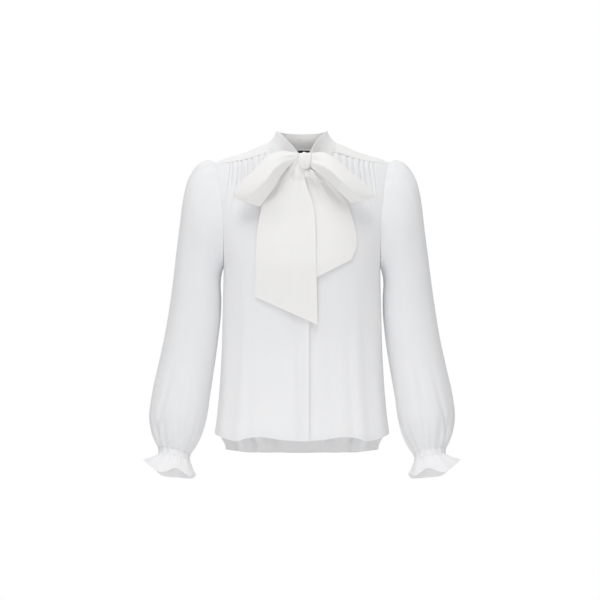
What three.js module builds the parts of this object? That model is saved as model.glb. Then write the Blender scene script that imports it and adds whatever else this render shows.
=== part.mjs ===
// A long-sleeved blouse with a soft tie at the neck, hollow, as it hangs on its wearer.
// Millimetres, +Z up. The front faces -Y, and the wearer's left is at +X.
// The origin is the middle of the neck at shoulder height, where the wearer holds it up.
import * as THREE from "three";

const { Vector3 } = THREE;
const { clamp, degToRad, lerp, smoothstep } = THREE.MathUtils;

// Walls and seams
const CLOTH = 1.6; // one layer of cloth
const DOUBLE_CLOTH = 2.2; // the collar, tie and placket are folded double
const SEAM_HALF_GAP = 0.42; // each piece ends this far short of a seam
const SIDE_HALF_GAP = 0.35; // the same at the side seams, where the body turns
const LAID_ON_GAP = 0.35; // between a panel and what lies on it

// The body: half width and depths at each height, and how square its rings are
const BODY = [
  { z: -640, halfWidth: 182, front: 118, back: 117 },
  { z: -580, halfWidth: 178, front: 117, back: 114 },
  { z: -540, halfWidth: 173, front: 113, back: 108 },
  { z: -470, halfWidth: 167, front: 108, back: 99 },
  { z: -400, halfWidth: 163.5, front: 106, back: 94 },
  { z: -320, halfWidth: 161.5, front: 110, back: 94 },
  { z: -245, halfWidth: 160, front: 113, back: 99 },
  { z: -200, halfWidth: 170, front: 107, back: 103 },
  { z: -150, halfWidth: 181, front: 95, back: 103 },
  { z: -100, halfWidth: 186, front: 80, back: 101 },
  { z: -60, halfWidth: 187, front: 68, back: 99 },
  { z: -20, halfWidth: 188, front: 63, back: 98 },
  { z: 30, halfWidth: 189, front: 62, back: 98 },
];
const SQUARENESS = 2.3;

// The shoulder line that the cloth turns over
const RIDGE = [
  { x: 0, z: 26 },
  { x: 40, z: 24 },
  { x: 62, z: 18.5 },
  { x: 76, z: 13 },
  { x: 89, z: 7.2 },
  { x: 100, z: 1.8 },
  { x: 117, z: -4.8 },
  { x: 136, z: -10.8 },
  { x: 160, z: -17.8 },
  { x: 178, z: -25 },
];
const RIDGE_Y = 8;
const ROUNDING = 110; // height over which the shoulder rounds down into the chest and back
const QUARTER = 130; // length of that quarter turn

// Armholes: how far out the seam lies at each height, and the turns at which both sides have a point
const ARMPIT_Z = -245;
const SHOULDER_Z = -25;
const ARMHOLE = [
  { z: -245, x: 160 },
  { z: -200, x: 158.5 },
  { z: -160, x: 159 },
  { z: -120, x: 162 },
  { z: -86, x: 166 },
  { z: -50, x: 171.5 },
  { z: -35, x: 174.8 },
  { z: -25, x: 178 },
];
const ARMHOLE_TURNS = [0, 14, 28, 45, 65, 90, 115, 140, 160, 180];
const FRONT_SEAM_TURN = 160;
const BACK_SEAM_TURN = 115;

// Neck: the seam is an ellipse laid over the shoulders
const NECK = { halfWidth: 76, front: 112, back: 50 };
const NECK_SEAM_TURN = 60; // where the yoke's front seam meets it

// Hems
const FRONT_HEM = [
  { x: 0, z: -587.5 },
  { x: 45, z: -584 },
  { x: 84, z: -579 },
  { x: 112, z: -583 },
  { x: 131, z: -589 },
  { x: 178, z: -580 },
];
const BACK_HEM = [
  { x: 0, z: -631 },
  { x: 80, z: -629 },
  { x: 158, z: -619 },
];
const SLIT = { top: -545, foot: -619, turn: 30 };
const SIDE_HEIGHTS = [-580, -545, -490, -430, -370, -310, -270, -245];

// Placket
const PLACKET = { from: -14, to: 14 };
const FRONT_EDGE = 13.2; // the right front's edge, just behind the placket's stitched side

// Gathers under the yoke's front seam, each with its depth and length, from the neck outwards
const GATHER_RANGE = { from: 0.2, to: 0.78 };
const GATHERS = [
  { depth: 2.2, length: 70 },
  { depth: 2.8, length: 95 },
  { depth: 2.0, length: 60 },
  { depth: 3.0, length: 120 },
  { depth: 2.2, length: 75 },
  { depth: 3.2, length: 135 },
  { depth: 2.0, length: 70 },
  { depth: 2.8, length: 110 },
  { depth: 1.8, length: 60 },
];

// Long soft folds down to the hem: place across the panel, width, depth at the hem, and top
const FRONT_FOLDS = [
  { at: 0.46, width: 0.075, depth: 8, top: -190 },
  { at: 0.3, width: 0.07, depth: 3, top: -330 },
  { at: 0.72, width: 0.09, depth: 3.5, top: -260 },
];
const BACK_FOLDS = [
  { at: 0.2, width: 0.1, depth: 5, top: -140 },
  { at: 0.46, width: 0.09, depth: 6, top: -120 },
  { at: 0.74, width: 0.09, depth: 4, top: -200 },
];

// Sleeve rings from the armhole to the wrist, seen from the front: the inner and outer edge,
// half the depth, the middle's place front to back, and how far the ring tips forward
const SLEEVE = [
  { innerX: 161, innerZ: -245, outerX: 178, outerZ: -25, depth: 58, y: 4, tip: 0 },
  { innerX: 163.6, innerZ: -247, outerX: 191, outerZ: -21.5, depth: 58, y: 4, tip: 0 },
  { innerX: 165, innerZ: -251, outerX: 208, outerZ: -27, depth: 59, y: 4, tip: 0 },
  { innerX: 166, innerZ: -257, outerX: 223, outerZ: -43, depth: 60, y: 4, tip: 0 },
  { innerX: 167, innerZ: -265, outerX: 235, outerZ: -67, depth: 60, y: 4, tip: 0 },
  { innerX: 167.5, innerZ: -275, outerX: 243.5, outerZ: -103, depth: 59, y: 4, tip: 0 },
  { innerX: 167, innerZ: -289, outerX: 250.5, outerZ: -157, depth: 57, y: 4, tip: 0 },
  { innerX: 166, innerZ: -307, outerX: 259, outerZ: -223, depth: 55, y: 3, tip: 1 },
  { innerX: 166.5, innerZ: -336, outerX: 268.5, outerZ: -300, depth: 54, y: 1, tip: 3 },
  { innerX: 172, innerZ: -392, outerX: 281, outerZ: -382, depth: 55, y: -5, tip: 6 },
  { innerX: 180, innerZ: -448, outerX: 294, outerZ: -446, depth: 57, y: -13, tip: 9 },
  { innerX: 188, innerZ: -500, outerX: 304.5, outerZ: -499, depth: 60, y: -24, tip: 11 },
  { innerX: 194.5, innerZ: -545, outerX: 309, outerZ: -541, depth: 60, y: -35, tip: 13 },
  { innerX: 203.5, innerZ: -578, outerX: 304.5, outerZ: -571, depth: 54, y: -43, tip: 15 },
  { innerX: 216.5, innerZ: -604, outerX: 296, outerZ: -593, depth: 44, y: -50, tip: 16 },
  { innerX: 226, innerZ: -619, outerX: 289, outerZ: -607, depth: 34, y: -54, tip: 17 },
];
const ARMHOLE_FADE = [1, 0.9, 0.72, 0.52, 0.34, 0.2, 0.09, 0.03];
const SLEEVE_OFF = { seam: 1.3, armpit: 1.1 }; // how far the sleeve starts outside the armhole
const HEAD_GATHERS = { from: 110, to: 250, count: 7, depth: 1.8, rows: 5 };
const WRIST_GATHERS = 14;
const WRIST_DEPTHS = [0, 0.6, 1.6, 2.6, 3.4, 3.2, 1.5]; // on the last rings
const UPPER_COLUMNS = 30;

// Cuff: an elastic band with a frill below it
const CUFF = [
  { innerX: 226.4, innerZ: -620.2, outerX: 288.8, outerZ: -608.2, depth: 33.7, y: -54.3, tip: 17 },
  { innerX: 227.5, innerZ: -627, outerX: 288.5, outerZ: -614.5, depth: 33, y: -56, tip: 17 },
  { innerX: 226.5, innerZ: -633, outerX: 290.5, outerZ: -619.5, depth: 33.6, y: -57.6, tip: 17 },
];
const CUFF_WAVES = [1.3, 0.7, 1.2];
const FRILL = [
  { innerX: 226.3, innerZ: -634, outerX: 290.9, outerZ: -620.5, depth: 33.9, y: -58, tip: 17 },
  { innerX: 222.5, innerZ: -643, outerX: 300.5, outerZ: -624.5, depth: 39, y: -60, tip: 17 },
  { innerX: 218.5, innerZ: -651, outerX: 312.5, outerZ: -628.5, depth: 44, y: -62.5, tip: 17 },
  { innerX: 215, innerZ: -658, outerX: 322, outerZ: -632.5, depth: 48, y: -65, tip: 17 },
];
const FRILL_WAVES = [0.8, 1.8, 2.9, 3.6];
const FRILL_DROPS = [0, 0.5, 1.3, 2.2]; // the same waves, down the length
const FRILL_COUNT = 10;

// Collar: its upper edge, by the turn from the front, and where its two ends tuck behind the knot
const COLLAR_TOP = [
  { turn: 14, x: 6, y: -85, z: -21 },
  { turn: 30, x: 21, y: -74, z: 2 },
  { turn: 50, x: 34, y: -52, z: 19 },
  { turn: 70, x: 45, y: -25, z: 33 },
  { turn: 90, x: 51, y: 4, z: 39.5 },
  { turn: 120, x: 44, y: 31, z: 39 },
  { turn: 150, x: 25, y: 45, z: 37.5 },
  { turn: 180, x: 0, y: 50, z: 37 },
];
const COLLAR_END = { turn: 14, x: 5, y: -85, z: -34, joins: 46, shift: 4 };
const COLLAR_OFF = 1.75; // how far its lower edge stands off the neck seam
const COLLAR_ROLL = 3.5; // how far it bulges between its edges
const COLLAR_TURNS = [14, 20, 27, 35, 44, 54, 64, 75, 86, 97, 108, 120, 132, 144, 156, 168, 180];
const COLLAR_ROWS = [0, 0.2, 0.42, 0.64, 0.84, 1];

// Bow
const KNOT = { x: 4, y: -99, z: -32, halfX: 17.5, halfY: 13, halfZ: 15.5 };
const KNOT_FORM = { squareness: 0.3, groove: 0.06, wraps: 9 };
// A loop of ribbon: degrees of its teardrop that the knot hides at each end, how full its round
// end is, how much it narrows at its edges, and how far its middle bellies forward
const LOOP = { thickness: 2, hidden: 26, fullness: 0.6, edges: 0.75, belly: 2.5 };
const LOOP_STEPS = 18;
const LOOP_COLUMNS = [0, 0.17, 0.34, 0.5, 0.66, 0.83, 1];
// Each loop seen from the front: the upper and lower edge of the ribbon from the knot to the fold
const RIGHT_LOOP = [
  { along: 0, upperX: -13.6, upperZ: -24, lowerX: -13.6, lowerZ: -40, y: -99, half: 3 },
  { along: 0.15, upperX: -38, upperZ: -17, lowerX: -27, lowerZ: -43, y: -105, half: 8 },
  { along: 0.35, upperX: -67, upperZ: -26, lowerX: -43, lowerZ: -63, y: -111, half: 12 },
  { along: 0.6, upperX: -98, upperZ: -49, lowerX: -59, lowerZ: -88, y: -111, half: 14 },
  { along: 0.8, upperX: -120, upperZ: -69, lowerX: -72, lowerZ: -107, y: -106, half: 12 },
  { along: 1, upperX: -132, upperZ: -88, lowerX: -82.5, lowerZ: -124.5, y: -101, half: 7 },
];
const LEFT_LOOP = [
  { along: 0, upperX: 21.6, upperZ: -24, lowerX: 21.6, lowerZ: -40, y: -99, half: 3 },
  { along: 0.15, upperX: 41, upperZ: -21, lowerX: 33, lowerZ: -53, y: -105, half: 8 },
  { along: 0.35, upperX: 65, upperZ: -27, lowerX: 50, lowerZ: -69, y: -111, half: 12 },
  { along: 0.6, upperX: 93, upperZ: -47, lowerX: 67, lowerZ: -88, y: -111, half: 14 },
  { along: 0.8, upperX: 113, upperZ: -65, lowerX: 82, lowerZ: -102, y: -106, half: 12 },
  { along: 1, upperX: 131, upperZ: -85, lowerX: 97, lowerZ: -106, y: -99, half: 7 },
];
// Each tail seen from the front: its two edges and how far it stands off the body, by height
const RIGHT_TAIL = [
  { z: -360, left: -92, right: 30.8, away: 9 },
  { z: -300, left: -93, right: 29.5, away: 9 },
  { z: -228, left: -92, right: 27.6, away: 10 },
  { z: -169, left: -89, right: 26.8, away: 12 },
  { z: -141, left: -83, right: 25.6, away: 14 },
  { z: -117.5, left: -62, right: 21.6, away: 18 },
  { z: -90, left: -38, right: 11.7, away: 24 },
  { z: -70, left: -24, right: 3, away: 31 },
  { z: -58, left: -16, right: 2, away: 32 },
  { z: -51, left: -12, right: 2, away: 23 },
  { z: -46.5, left: -10, right: 2, away: 15.6 },
  { z: -38, left: -9, right: 2, away: 15 },
];
const RIGHT_TAIL_END = { left: -301, right: -357 };
const LEFT_TAIL = [
  { z: -290, left: -13, right: 97, away: 5.6 },
  { z: -227, left: -11, right: 99, away: 5.8 },
  { z: -198, left: -9, right: 109, away: 6 },
  { z: -180, left: -8, right: 107.7, away: 6.5 },
  { z: -155, left: -7, right: 97, away: 7.5 },
  { z: -117.5, left: -4, right: 83, away: 11 },
  { z: -90, left: 0, right: 56, away: 17 },
  { z: -70, left: 6, right: 33, away: 25 },
  { z: -58, left: 6, right: 23, away: 30 },
  { z: -51, left: 6, right: 20, away: 23 },
  { z: -46.5, left: 6, right: 18, away: 16.6 },
  { z: -38, left: 6, right: 17, away: 15 },
];
const LEFT_TAIL_END = { left: -284, right: -227 };
const TAIL_PLEATS = { count: 3, depth: 2.4, from: 10, length: 110, top: 12 };
const TAIL_COLUMNS = [0, 0.09, 0.18, 0.29, 0.4, 0.5, 0.6, 0.71, 0.82, 0.91, 1];
const TAIL_STEPS = 14;
const TAIL_LEAVES_CHEST = -70; // above this height the tails hang straight up to the knot

// Woven label inside the back neck
const LABEL = { halfWidth: 26, top: 52.5, foot: 66, thickness: 0.8 };

// A smooth reading of one column of a table whose rows run upwards in another
function read(table, by, column, at) {
  const last = table.length - 1;
  if (at <= table[0][by]) return table[0][column];
  if (at >= table[last][by]) return table[last][column];
  let row = 0;
  while (table[row + 1][by] < at) row += 1;
  const slope = (i) => (table[i + 1][column] - table[i][column]) / (table[i + 1][by] - table[i][by]);
  const tangent = (i) => {
    if (i === 0) return slope(0);
    if (i === last) return slope(last - 1);
    const before = slope(i - 1);
    const after = slope(i);
    return before * after <= 0 ? 0 : (2 * before * after) / (before + after);
  };
  const span = table[row + 1][by] - table[row][by];
  const t = (at - table[row][by]) / span;
  const ease = t * t * (3 - 2 * t);
  const leave = t * (1 - t) * (1 - t) * span * tangent(row);
  const arrive = t * t * (t - 1) * span * tangent(row + 1);
  return lerp(table[row][column], table[row + 1][column], ease) + leave + arrive;
}

// A surface of triangles between rows of points, each row with its own count.
// A row's "at" says how far along each of its points lies, and neighbouring rows are zipped by it.
function zipRows(rows, closed = false) {
  const points = [];
  const starts = rows.map((row) => {
    const start = points.length;
    points.push(...row.points);
    return start;
  });
  const triangles = [];
  for (let r = 0; r + 1 < rows.length; r += 1) {
    const [a, b] = [rows[r], rows[r + 1]];
    const last = (row) => row.points.length - (closed ? 0 : 1);
    const at = (row, i) => (i < row.points.length ? row.at[i] : row.at[0] + 1);
    const index = (k, i) => starts[r + k] + (i % rows[r + k].points.length);
    let i = 0;
    let j = 0;
    while (i < last(a) || j < last(b)) {
      const stepA = j >= last(b) || (i < last(a) && at(a, i + 1) <= at(b, j + 1) + 1e-9);
      if (stepA) {
        triangles.push([index(0, i), index(0, i + 1), index(1, j)]);
        i += 1;
      } else {
        triangles.push([index(0, i), index(1, j + 1), index(1, j)]);
        j += 1;
      }
    }
  }
  return { points, triangles };
}

function normalsOf({ points, triangles }) {
  const normals = points.map(() => new Vector3());
  for (const corners of triangles) {
    const [a, b, c] = corners.map((i) => points[i]);
    const facing = new Vector3().subVectors(b, a).cross(new Vector3().subVectors(c, a));
    corners.forEach((i) => normals[i].add(facing));
  }
  return normals.map((n) => n.normalize());
}

function geometryOf(points, triangles) {
  const volume = triangles.reduce(
    (sum, [a, b, c]) => sum + points[a].dot(new Vector3().crossVectors(points[b], points[c])), 0);
  const facingOut = volume > 0 ? triangles : triangles.map(([a, b, c]) => [a, c, b]);
  const geometry = new THREE.BufferGeometry().setFromPoints(points);
  geometry.setIndex(facingOut.flat());
  geometry.computeVertexNormals();
  return geometry;
}

// Turns a surface into a closed wall of cloth around it
function thicken(surface, thickness) {
  const { points, triangles } = surface;
  const count = points.length;
  const normals = normalsOf(surface);
  const shifted = (by) => points.map((p, i) => p.clone().addScaledVector(normals[i], by));
  const walls = [...triangles, ...triangles.map(([a, b, c]) => [a + count, c + count, b + count])];
  const uses = new Map();
  for (const [a, b, c] of triangles) {
    for (const [from, to] of [[a, b], [b, c], [c, a]]) uses.set(`${from} ${to}`, [from, to]);
  }
  for (const [from, to] of uses.values()) {
    if (!uses.has(`${to} ${from}`)) {
      walls.push([to, from, from + count], [to, from + count, to + count]);
    }
  }
  return geometryOf([...shifted(thickness / 2), ...shifted(-thickness / 2)], walls);
}

const ridgeZ = (x) => read(RIDGE, "x", "z", Math.abs(x));
const armholeX = (z) => read(ARMHOLE, "z", "x", z);
const armholeZ = (turn) => (ARMPIT_Z + SHOULDER_Z) / 2
  - ((SHOULDER_Z - ARMPIT_Z) / 2) * Math.cos(degToRad(turn));

// A point of the body at a place across and a height, on its front or its back
function bodyPoint(x, z, back) {
  const halfWidth = read(BODY, "z", "halfWidth", z);
  const depth = read(BODY, "z", back ? "back" : "front", z);
  const share = Math.max(0, 1 - (Math.abs(x) / halfWidth) ** SQUARENESS) ** (1 / SQUARENESS);
  const fall = clamp((ridgeZ(x) - z) / ROUNDING, 0, 1);
  const turned = Math.sqrt(1 - (1 - fall) ** 2);
  const reach = (back ? 1 : -1) * depth * share;
  return new Vector3(x, RIDGE_Y + (reach - RIDGE_Y) * turned, z);
}

// How far down a length over the shoulder takes one, and the other way about
const dropOf = (length) => {
  const turn = Math.min(1, Math.abs(length) / QUARTER) * (Math.PI / 2);
  return ROUNDING * (1 - Math.cos(turn)) + Math.max(0, Math.abs(length) - QUARTER);
};
const lengthOf = (drop) => (drop < ROUNDING
  ? (QUARTER * Math.acos(1 - drop / ROUNDING)) / (Math.PI / 2)
  : QUARTER + drop - ROUNDING);

// A point of the body at a place across and a length over the shoulder, forwards below 0
const overShoulder = (x, length) => bodyPoint(x, ridgeZ(x) - dropOf(length), length > 0);

// The neck seam at a turn from the front
function neckSeam(turn) {
  const angle = degToRad(turn);
  const reach = Math.cos(angle) > 0 ? NECK.front : NECK.back;
  return { x: NECK.halfWidth * Math.sin(angle), length: -reach * Math.cos(angle) };
}

// The yoke's front seam
const SEAM_NECK = neckSeam(NECK_SEAM_TURN);
const SEAM_ARM = { x: armholeX(armholeZ(FRONT_SEAM_TURN)), z: armholeZ(FRONT_SEAM_TURN) };
function frontSeamLength(x) {
  const share = (x - SEAM_NECK.x) / (SEAM_ARM.x - SEAM_NECK.x);
  const drop = lerp(dropOf(SEAM_NECK.length), ridgeZ(SEAM_ARM.x) - SEAM_ARM.z, share);
  return -lengthOf(drop);
}

// The upper edge of a front panel, along the neck and then the yoke's seam
function frontTopZ(x) {
  if (x > SEAM_NECK.x) return ridgeZ(x) - dropOf(frontSeamLength(x) - SEAM_HALF_GAP);
  return ridgeZ(x) - dropOf(-NECK.front * Math.sqrt(1 - (x / NECK.halfWidth) ** 2) - SEAM_HALF_GAP);
}

const BACK_SEAM_Z = armholeZ(BACK_SEAM_TURN);
const BACK_CORNER_X = armholeX(BACK_SEAM_Z);

// How far across a panel's share of the ring reaches at a height, from its inner edge to its side
function acrossX(share, z, innerX, back) {
  const halfWidth = read(BODY, "z", "halfWidth", z);
  const bend = (value, power) => Math.sign(value) * Math.abs(value) ** power;
  const angleAt = (x) => Math.asin(clamp(bend(x / halfWidth, SQUARENESS / 2), -1, 1));
  let side = z < ARMPIT_Z ? Math.PI / 2 : angleAt(armholeX(z));
  if (back) side -= degToRad(SLIT.turn) * smoothstep(-z, -SLIT.top, -SLIT.foot);
  return halfWidth * bend(Math.sin(lerp(angleAt(innerX), side, share)), 2 / SQUARENESS);
}

// A raised fold's share of its full height, across it
const hump = (away) => (Math.abs(away) < 1 ? 0.5 + 0.5 * Math.cos(Math.PI * away) : 0);

function foldsOut(folds, share, z) {
  return folds.reduce((sum, fold) => sum
    + fold.depth * hump((share - fold.at) / fold.width) * smoothstep(fold.top - z, 0, fold.top + 580), 0);
}

function gathersOut(share, below) {
  const place = ((share - GATHER_RANGE.from) / (GATHER_RANGE.to - GATHER_RANGE.from)) * GATHERS.length;
  if (place <= 0 || place >= GATHERS.length) return 0;
  const { depth, length } = GATHERS[Math.floor(place)];
  const fade = 1 - smoothstep(below, 12, length);
  return depth * fade * (0.5 - 0.5 * Math.cos(2 * Math.PI * place));
}

// The rows of a body panel: shares of its width, for each height at its side edge
const EVEN_ROWS = [0, 0.06, 0.16, 0.27, 0.38, 0.49, 0.57, 0.63, 0.69, 0.75, 0.8, 0.85, 0.89, 0.93, 0.965, 1];
const LOWER_SHARES = [0, 0.1, 0.2, 0.27, 0.33, 0.385, 0.42, 0.46, 0.5, 0.54, 0.62, 0.72, 0.82, 0.92, 1];
const GATHER_SHARES = Array.from({ length: 2 * GATHERS.length + 1 }, (_, i) =>
  lerp(GATHER_RANGE.from, GATHER_RANGE.to, i / (2 * GATHERS.length)));
const UPPER_SHARES = [0, 0.07, 0.14, ...GATHER_SHARES, 0.86, 0.93, 1];
const GATHERED_ROWS = 6;

function frontPanel(side, innerX) {
  const heights = [...SIDE_HEIGHTS, ...ARMHOLE_TURNS.slice(1, -1).map(armholeZ)];
  const lowest = heights[0];
  const highest = heights[heights.length - 1];
  const place = (share, row) => {
    let top = highest;
    for (let i = 0; i < 20; i += 1) top = frontTopZ(Math.abs(acrossX(share, top, innerX, false)));
    const hem = read(FRONT_HEM, "x", "z", Math.abs(acrossX(share, lowest, innerX, false)));
    const bySide = (heights[row] - lowest) / (highest - lowest);
    const up = lerp(EVEN_ROWS[row], bySide, share * share);
    const z = lerp(hem, top, up);
    const point = bodyPoint(acrossX(share, z, innerX, false), z, false);
    point.y -= foldsOut(FRONT_FOLDS, share, z) + gathersOut(share, top - z);
    point.y = Math.min(point.y, -SIDE_HALF_GAP);
    point.x *= side;
    return point;
  };
  return zipRows(heights.map((_, row) => {
    const at = row < heights.length - GATHERED_ROWS ? LOWER_SHARES : UPPER_SHARES;
    return { at, points: at.map((share) => place(share, row)) };
  }));
}

function backPanel() {
  const turns = ARMHOLE_TURNS.filter((turn) => turn > 0 && turn <= BACK_SEAM_TURN);
  const heights = [SLIT.foot, ...SIDE_HEIGHTS, ...turns.map(armholeZ)];
  const highest = BACK_SEAM_Z - SEAM_HALF_GAP;
  const half = LOWER_SHARES.filter((_, i) => i % 2 === 0);
  const shares = [...half.slice(1).map((share) => -share).reverse(), ...half];
  const place = (share, row) => {
    const wide = Math.abs(share);
    const hem = read(BACK_HEM, "x", "z", wide * BACK_HEM[2].x);
    const bySide = (heights[row] - heights[0]) / (BACK_SEAM_Z - heights[0]);
    const up = lerp(row / (heights.length - 1), bySide, wide * wide);
    const z = Math.min(lerp(hem, BACK_SEAM_Z, up), highest);
    const point = bodyPoint(Math.sign(share) * acrossX(wide, z, 0, true), z, true);
    point.y += foldsOut(BACK_FOLDS, wide, z);
    point.y = Math.max(point.y, SIDE_HALF_GAP);
    return point;
  };
  return zipRows(heights.map((_, row) => ({
    at: shares, points: shares.map((share) => place(share, row)),
  })));
}

// The yoke runs from one front seam round the back of the neck to the other
function yoke() {
  const armTurns = ARMHOLE_TURNS.filter((turn) => turn >= FRONT_SEAM_TURN);
  const backTurns = ARMHOLE_TURNS.filter((turn) => turn >= BACK_SEAM_TURN && turn < 180).reverse();
  const outer = [
    ...armTurns.map((turn) => ({ x: armholeX(armholeZ(turn)), z: armholeZ(turn), side: -1 })),
    ...backTurns.map((turn) => ({ x: armholeX(armholeZ(turn)), z: armholeZ(turn), side: 1 })),
  ];
  const neckTurns = [NECK_SEAM_TURN, 82, 96, 112, 132];
  const seamSteps = 8;
  for (let i = 1; i <= seamSteps; i += 1) {
    outer.push({ x: BACK_CORNER_X * (1 - i / seamSteps), z: BACK_SEAM_Z, side: 1 });
    neckTurns.push(lerp(132, 180, i / seamSteps));
  }
  const radial = Array.from({ length: 8 }, (_, i) => i / 7);
  const line = (index, mirrored) => {
    const inner = neckSeam(neckTurns[index]);
    const end = outer[index];
    const endLength = end.side * lengthOf(ridgeZ(end.x) - end.z);
    return {
      at: radial,
      points: radial.map((share) => {
        const x = lerp(inner.x, end.x, share);
        let length = lerp(inner.length, endLength, share);
        if (index === 0) length = frontSeamLength(x) + SEAM_HALF_GAP;
        if (share === 1 && index >= outer.length - seamSteps - 1) length -= SEAM_HALF_GAP;
        const point = overShoulder(x, length);
        if (mirrored) point.x *= -1;
        return point;
      }),
    };
  };
  const left = outer.map((_, index) => line(index, false));
  const right = outer.map((_, index) => line(index, true)).slice(0, -1).reverse();
  return zipRows([...left, ...right]);
}

// The placket lies on the fronts: their own points, moved out
function placket() {
  const out = CLOTH / 2 + LAID_ON_GAP + DOUBLE_CLOTH / 2;
  const across = [PLACKET.from, PLACKET.from / 2, 0, PLACKET.to / 2, PLACKET.to];
  return zipRows(EVEN_ROWS.map((up) => ({
    at: across,
    points: across.map((x) => {
      const z = lerp(read(FRONT_HEM, "x", "z", Math.abs(x)), frontTopZ(Math.abs(x)), up);
      return bodyPoint(x, z, false).add(new Vector3(0, -out, 0));
    }),
  })));
}

// A ring of a sleeve or cuff: turn 0 is its inner side, 90 its front and 180 its outer side
function ringPoint(ring, turn, out = 0, drop = 0) {
  const angle = degToRad(turn);
  const across = new Vector3(ring.outerX - ring.innerX, 0, ring.outerZ - ring.innerZ).multiplyScalar(0.5);
  const tip = degToRad(ring.tip);
  const halfDepth = ring.depth + out;
  const halfAcross = 1 + out / across.length();
  return new Vector3((ring.innerX + ring.outerX) / 2, ring.y, (ring.innerZ + ring.outerZ) / 2)
    .addScaledVector(across, -Math.cos(angle) * halfAcross)
    .add(new Vector3(0, -Math.cos(tip), Math.sin(tip)).multiplyScalar(Math.sin(angle) * halfDepth))
    .add(new Vector3(0, 0, -drop));
}

function armholePoint(turn) {
  const z = armholeZ(turn);
  return bodyPoint(armholeX(z), z, turn > 180);
}

const mirrorX = (point, side) => point.setX(point.x * side);

// A gathered ring: its waves stand out, a little unevenly
const UNEVENNESS = [
  { share: 0.25, count: 3, from: 40 },
  { share: 0.15, count: 5, from: 0 },
];
const unevenness = (turn) => UNEVENNESS.reduce((sum, { share, count, from }) =>
  sum + share * Math.sin(degToRad(count * turn + from)), 1);
const waveAt = (turn, count = WRIST_GATHERS) => Math.cos(degToRad(count * turn));
const evenTurns = (count) => Array.from({ length: count }, (_, i) => (i * 360) / count);
const waveTurns = evenTurns(4 * WRIST_GATHERS);

function sleeve(side) {
  const armTurns = [...ARMHOLE_TURNS, ...ARMHOLE_TURNS.slice(1, -1).map((turn) => 360 - turn).reverse()];
  const upperTurns = evenTurns(UPPER_COLUMNS);
  const gathered = SLEEVE.length - WRIST_DEPTHS.length;
  const headWave = (turn, row) => {
    const share = (turn - HEAD_GATHERS.from) / (HEAD_GATHERS.to - HEAD_GATHERS.from);
    if (share <= 0 || share >= 1 || row === 0 || row > HEAD_GATHERS.rows) return 0;
    const fade = 1 - (row - 1) / HEAD_GATHERS.rows;
    return HEAD_GATHERS.depth * fade * (0.5 - 0.5 * Math.cos(2 * Math.PI * HEAD_GATHERS.count * share));
  };
  const place = (turn, row) => {
    const depth = row >= gathered ? WRIST_DEPTHS[row - gathered] : 0;
    const point = ringPoint(SLEEVE[row], turn, depth * unevenness(turn) * waveAt(turn) + headWave(turn, row));
    const fade = ARMHOLE_FADE[row] ?? 0;
    const toArmhole = armholePoint(turn).sub(ringPoint(SLEEVE[0], turn));
    point.addScaledVector(toArmhole, fade);
    const nearPit = 0.5 + 0.5 * Math.cos(degToRad(turn));
    if (row === 0) point.x += SLEEVE_OFF.seam + SLEEVE_OFF.armpit * nearPit ** 3;
    return mirrorX(point, side);
  };
  return zipRows(SLEEVE.map((_, row) => {
    let turns = upperTurns;
    if (row === 0) turns = armTurns;
    if (row >= 1 && row <= HEAD_GATHERS.rows - 1) turns = headTurns();
    if (row > gathered) turns = waveTurns;
    return { at: turns.map((turn) => turn / 360), points: turns.map((turn) => place(turn, row)) };
  }), true);
}

// Columns for the sleeve head: close together over its gathers, and wide apart below them
function headTurns() {
  const steps = 2 * HEAD_GATHERS.count;
  const over = Array.from({ length: steps + 1 }, (_, i) =>
    lerp(HEAD_GATHERS.from, HEAD_GATHERS.to, i / steps));
  const below = [0, 14, 28, 45, 60, 76, 93];
  return [...below, ...over, ...below.slice(1).map((turn) => 360 - turn).reverse()];
}

function wavyTube(rings, turns, count, waves, drops, side) {
  return zipRows(rings.map((ring, row) => ({
    at: turns.map((turn) => turn / 360),
    points: turns.map((turn) => {
      const wave = unevenness(turn) * waveAt(turn, count);
      return mirrorX(ringPoint(ring, turn, waves[row] * wave, drops[row] * wave), side);
    }),
  })), true);
}

const cuffBand = (side) => wavyTube(CUFF, waveTurns, WRIST_GATHERS, CUFF_WAVES, [0, 0, 0], side);
const frillTurns = evenTurns(6 * FRILL_COUNT);
const frill = (side) => wavyTube(FRILL, frillTurns, FRILL_COUNT, FRILL_WAVES, FRILL_DROPS, side);

// The collar band stands on the neck seam, and its ends leave the seam for the knot
function collar() {
  const line = (turn, side) => {
    const seam = neckSeam(turn);
    const low = overShoulder(seam.x, seam.length);
    const toKnot = 1 - smoothstep(turn, COLLAR_END.turn, COLLAR_END.joins);
    low.lerp(new Vector3(COLLAR_END.x, COLLAR_END.y, COLLAR_END.z), toKnot);
    const top = new Vector3(...["x", "y", "z"].map((column) => read(COLLAR_TOP, "turn", column, turn)));
    const along = new Vector3(Math.cos(degToRad(turn)), Math.sin(degToRad(turn)), 0);
    const out = new Vector3().subVectors(top, low).cross(along).normalize();
    const off = COLLAR_OFF * (1 - toKnot);
    low.addScaledVector(out, off).add(new Vector3(0, 0, off));
    return {
      at: COLLAR_ROWS,
      points: COLLAR_ROWS.map((share) => {
        const point = low.clone().lerp(top, share);
        point.addScaledVector(out, COLLAR_ROLL * Math.sin(Math.PI * share) * (1 - toKnot));
        point.x = side * point.x + COLLAR_END.shift * toKnot;
        return point;
      }),
    };
  };
  return zipRows([
    ...COLLAR_TURNS.map((turn) => line(turn, -1)),
    ...COLLAR_TURNS.slice(0, -1).reverse().map((turn) => line(turn, 1)),
  ]);
}

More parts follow.
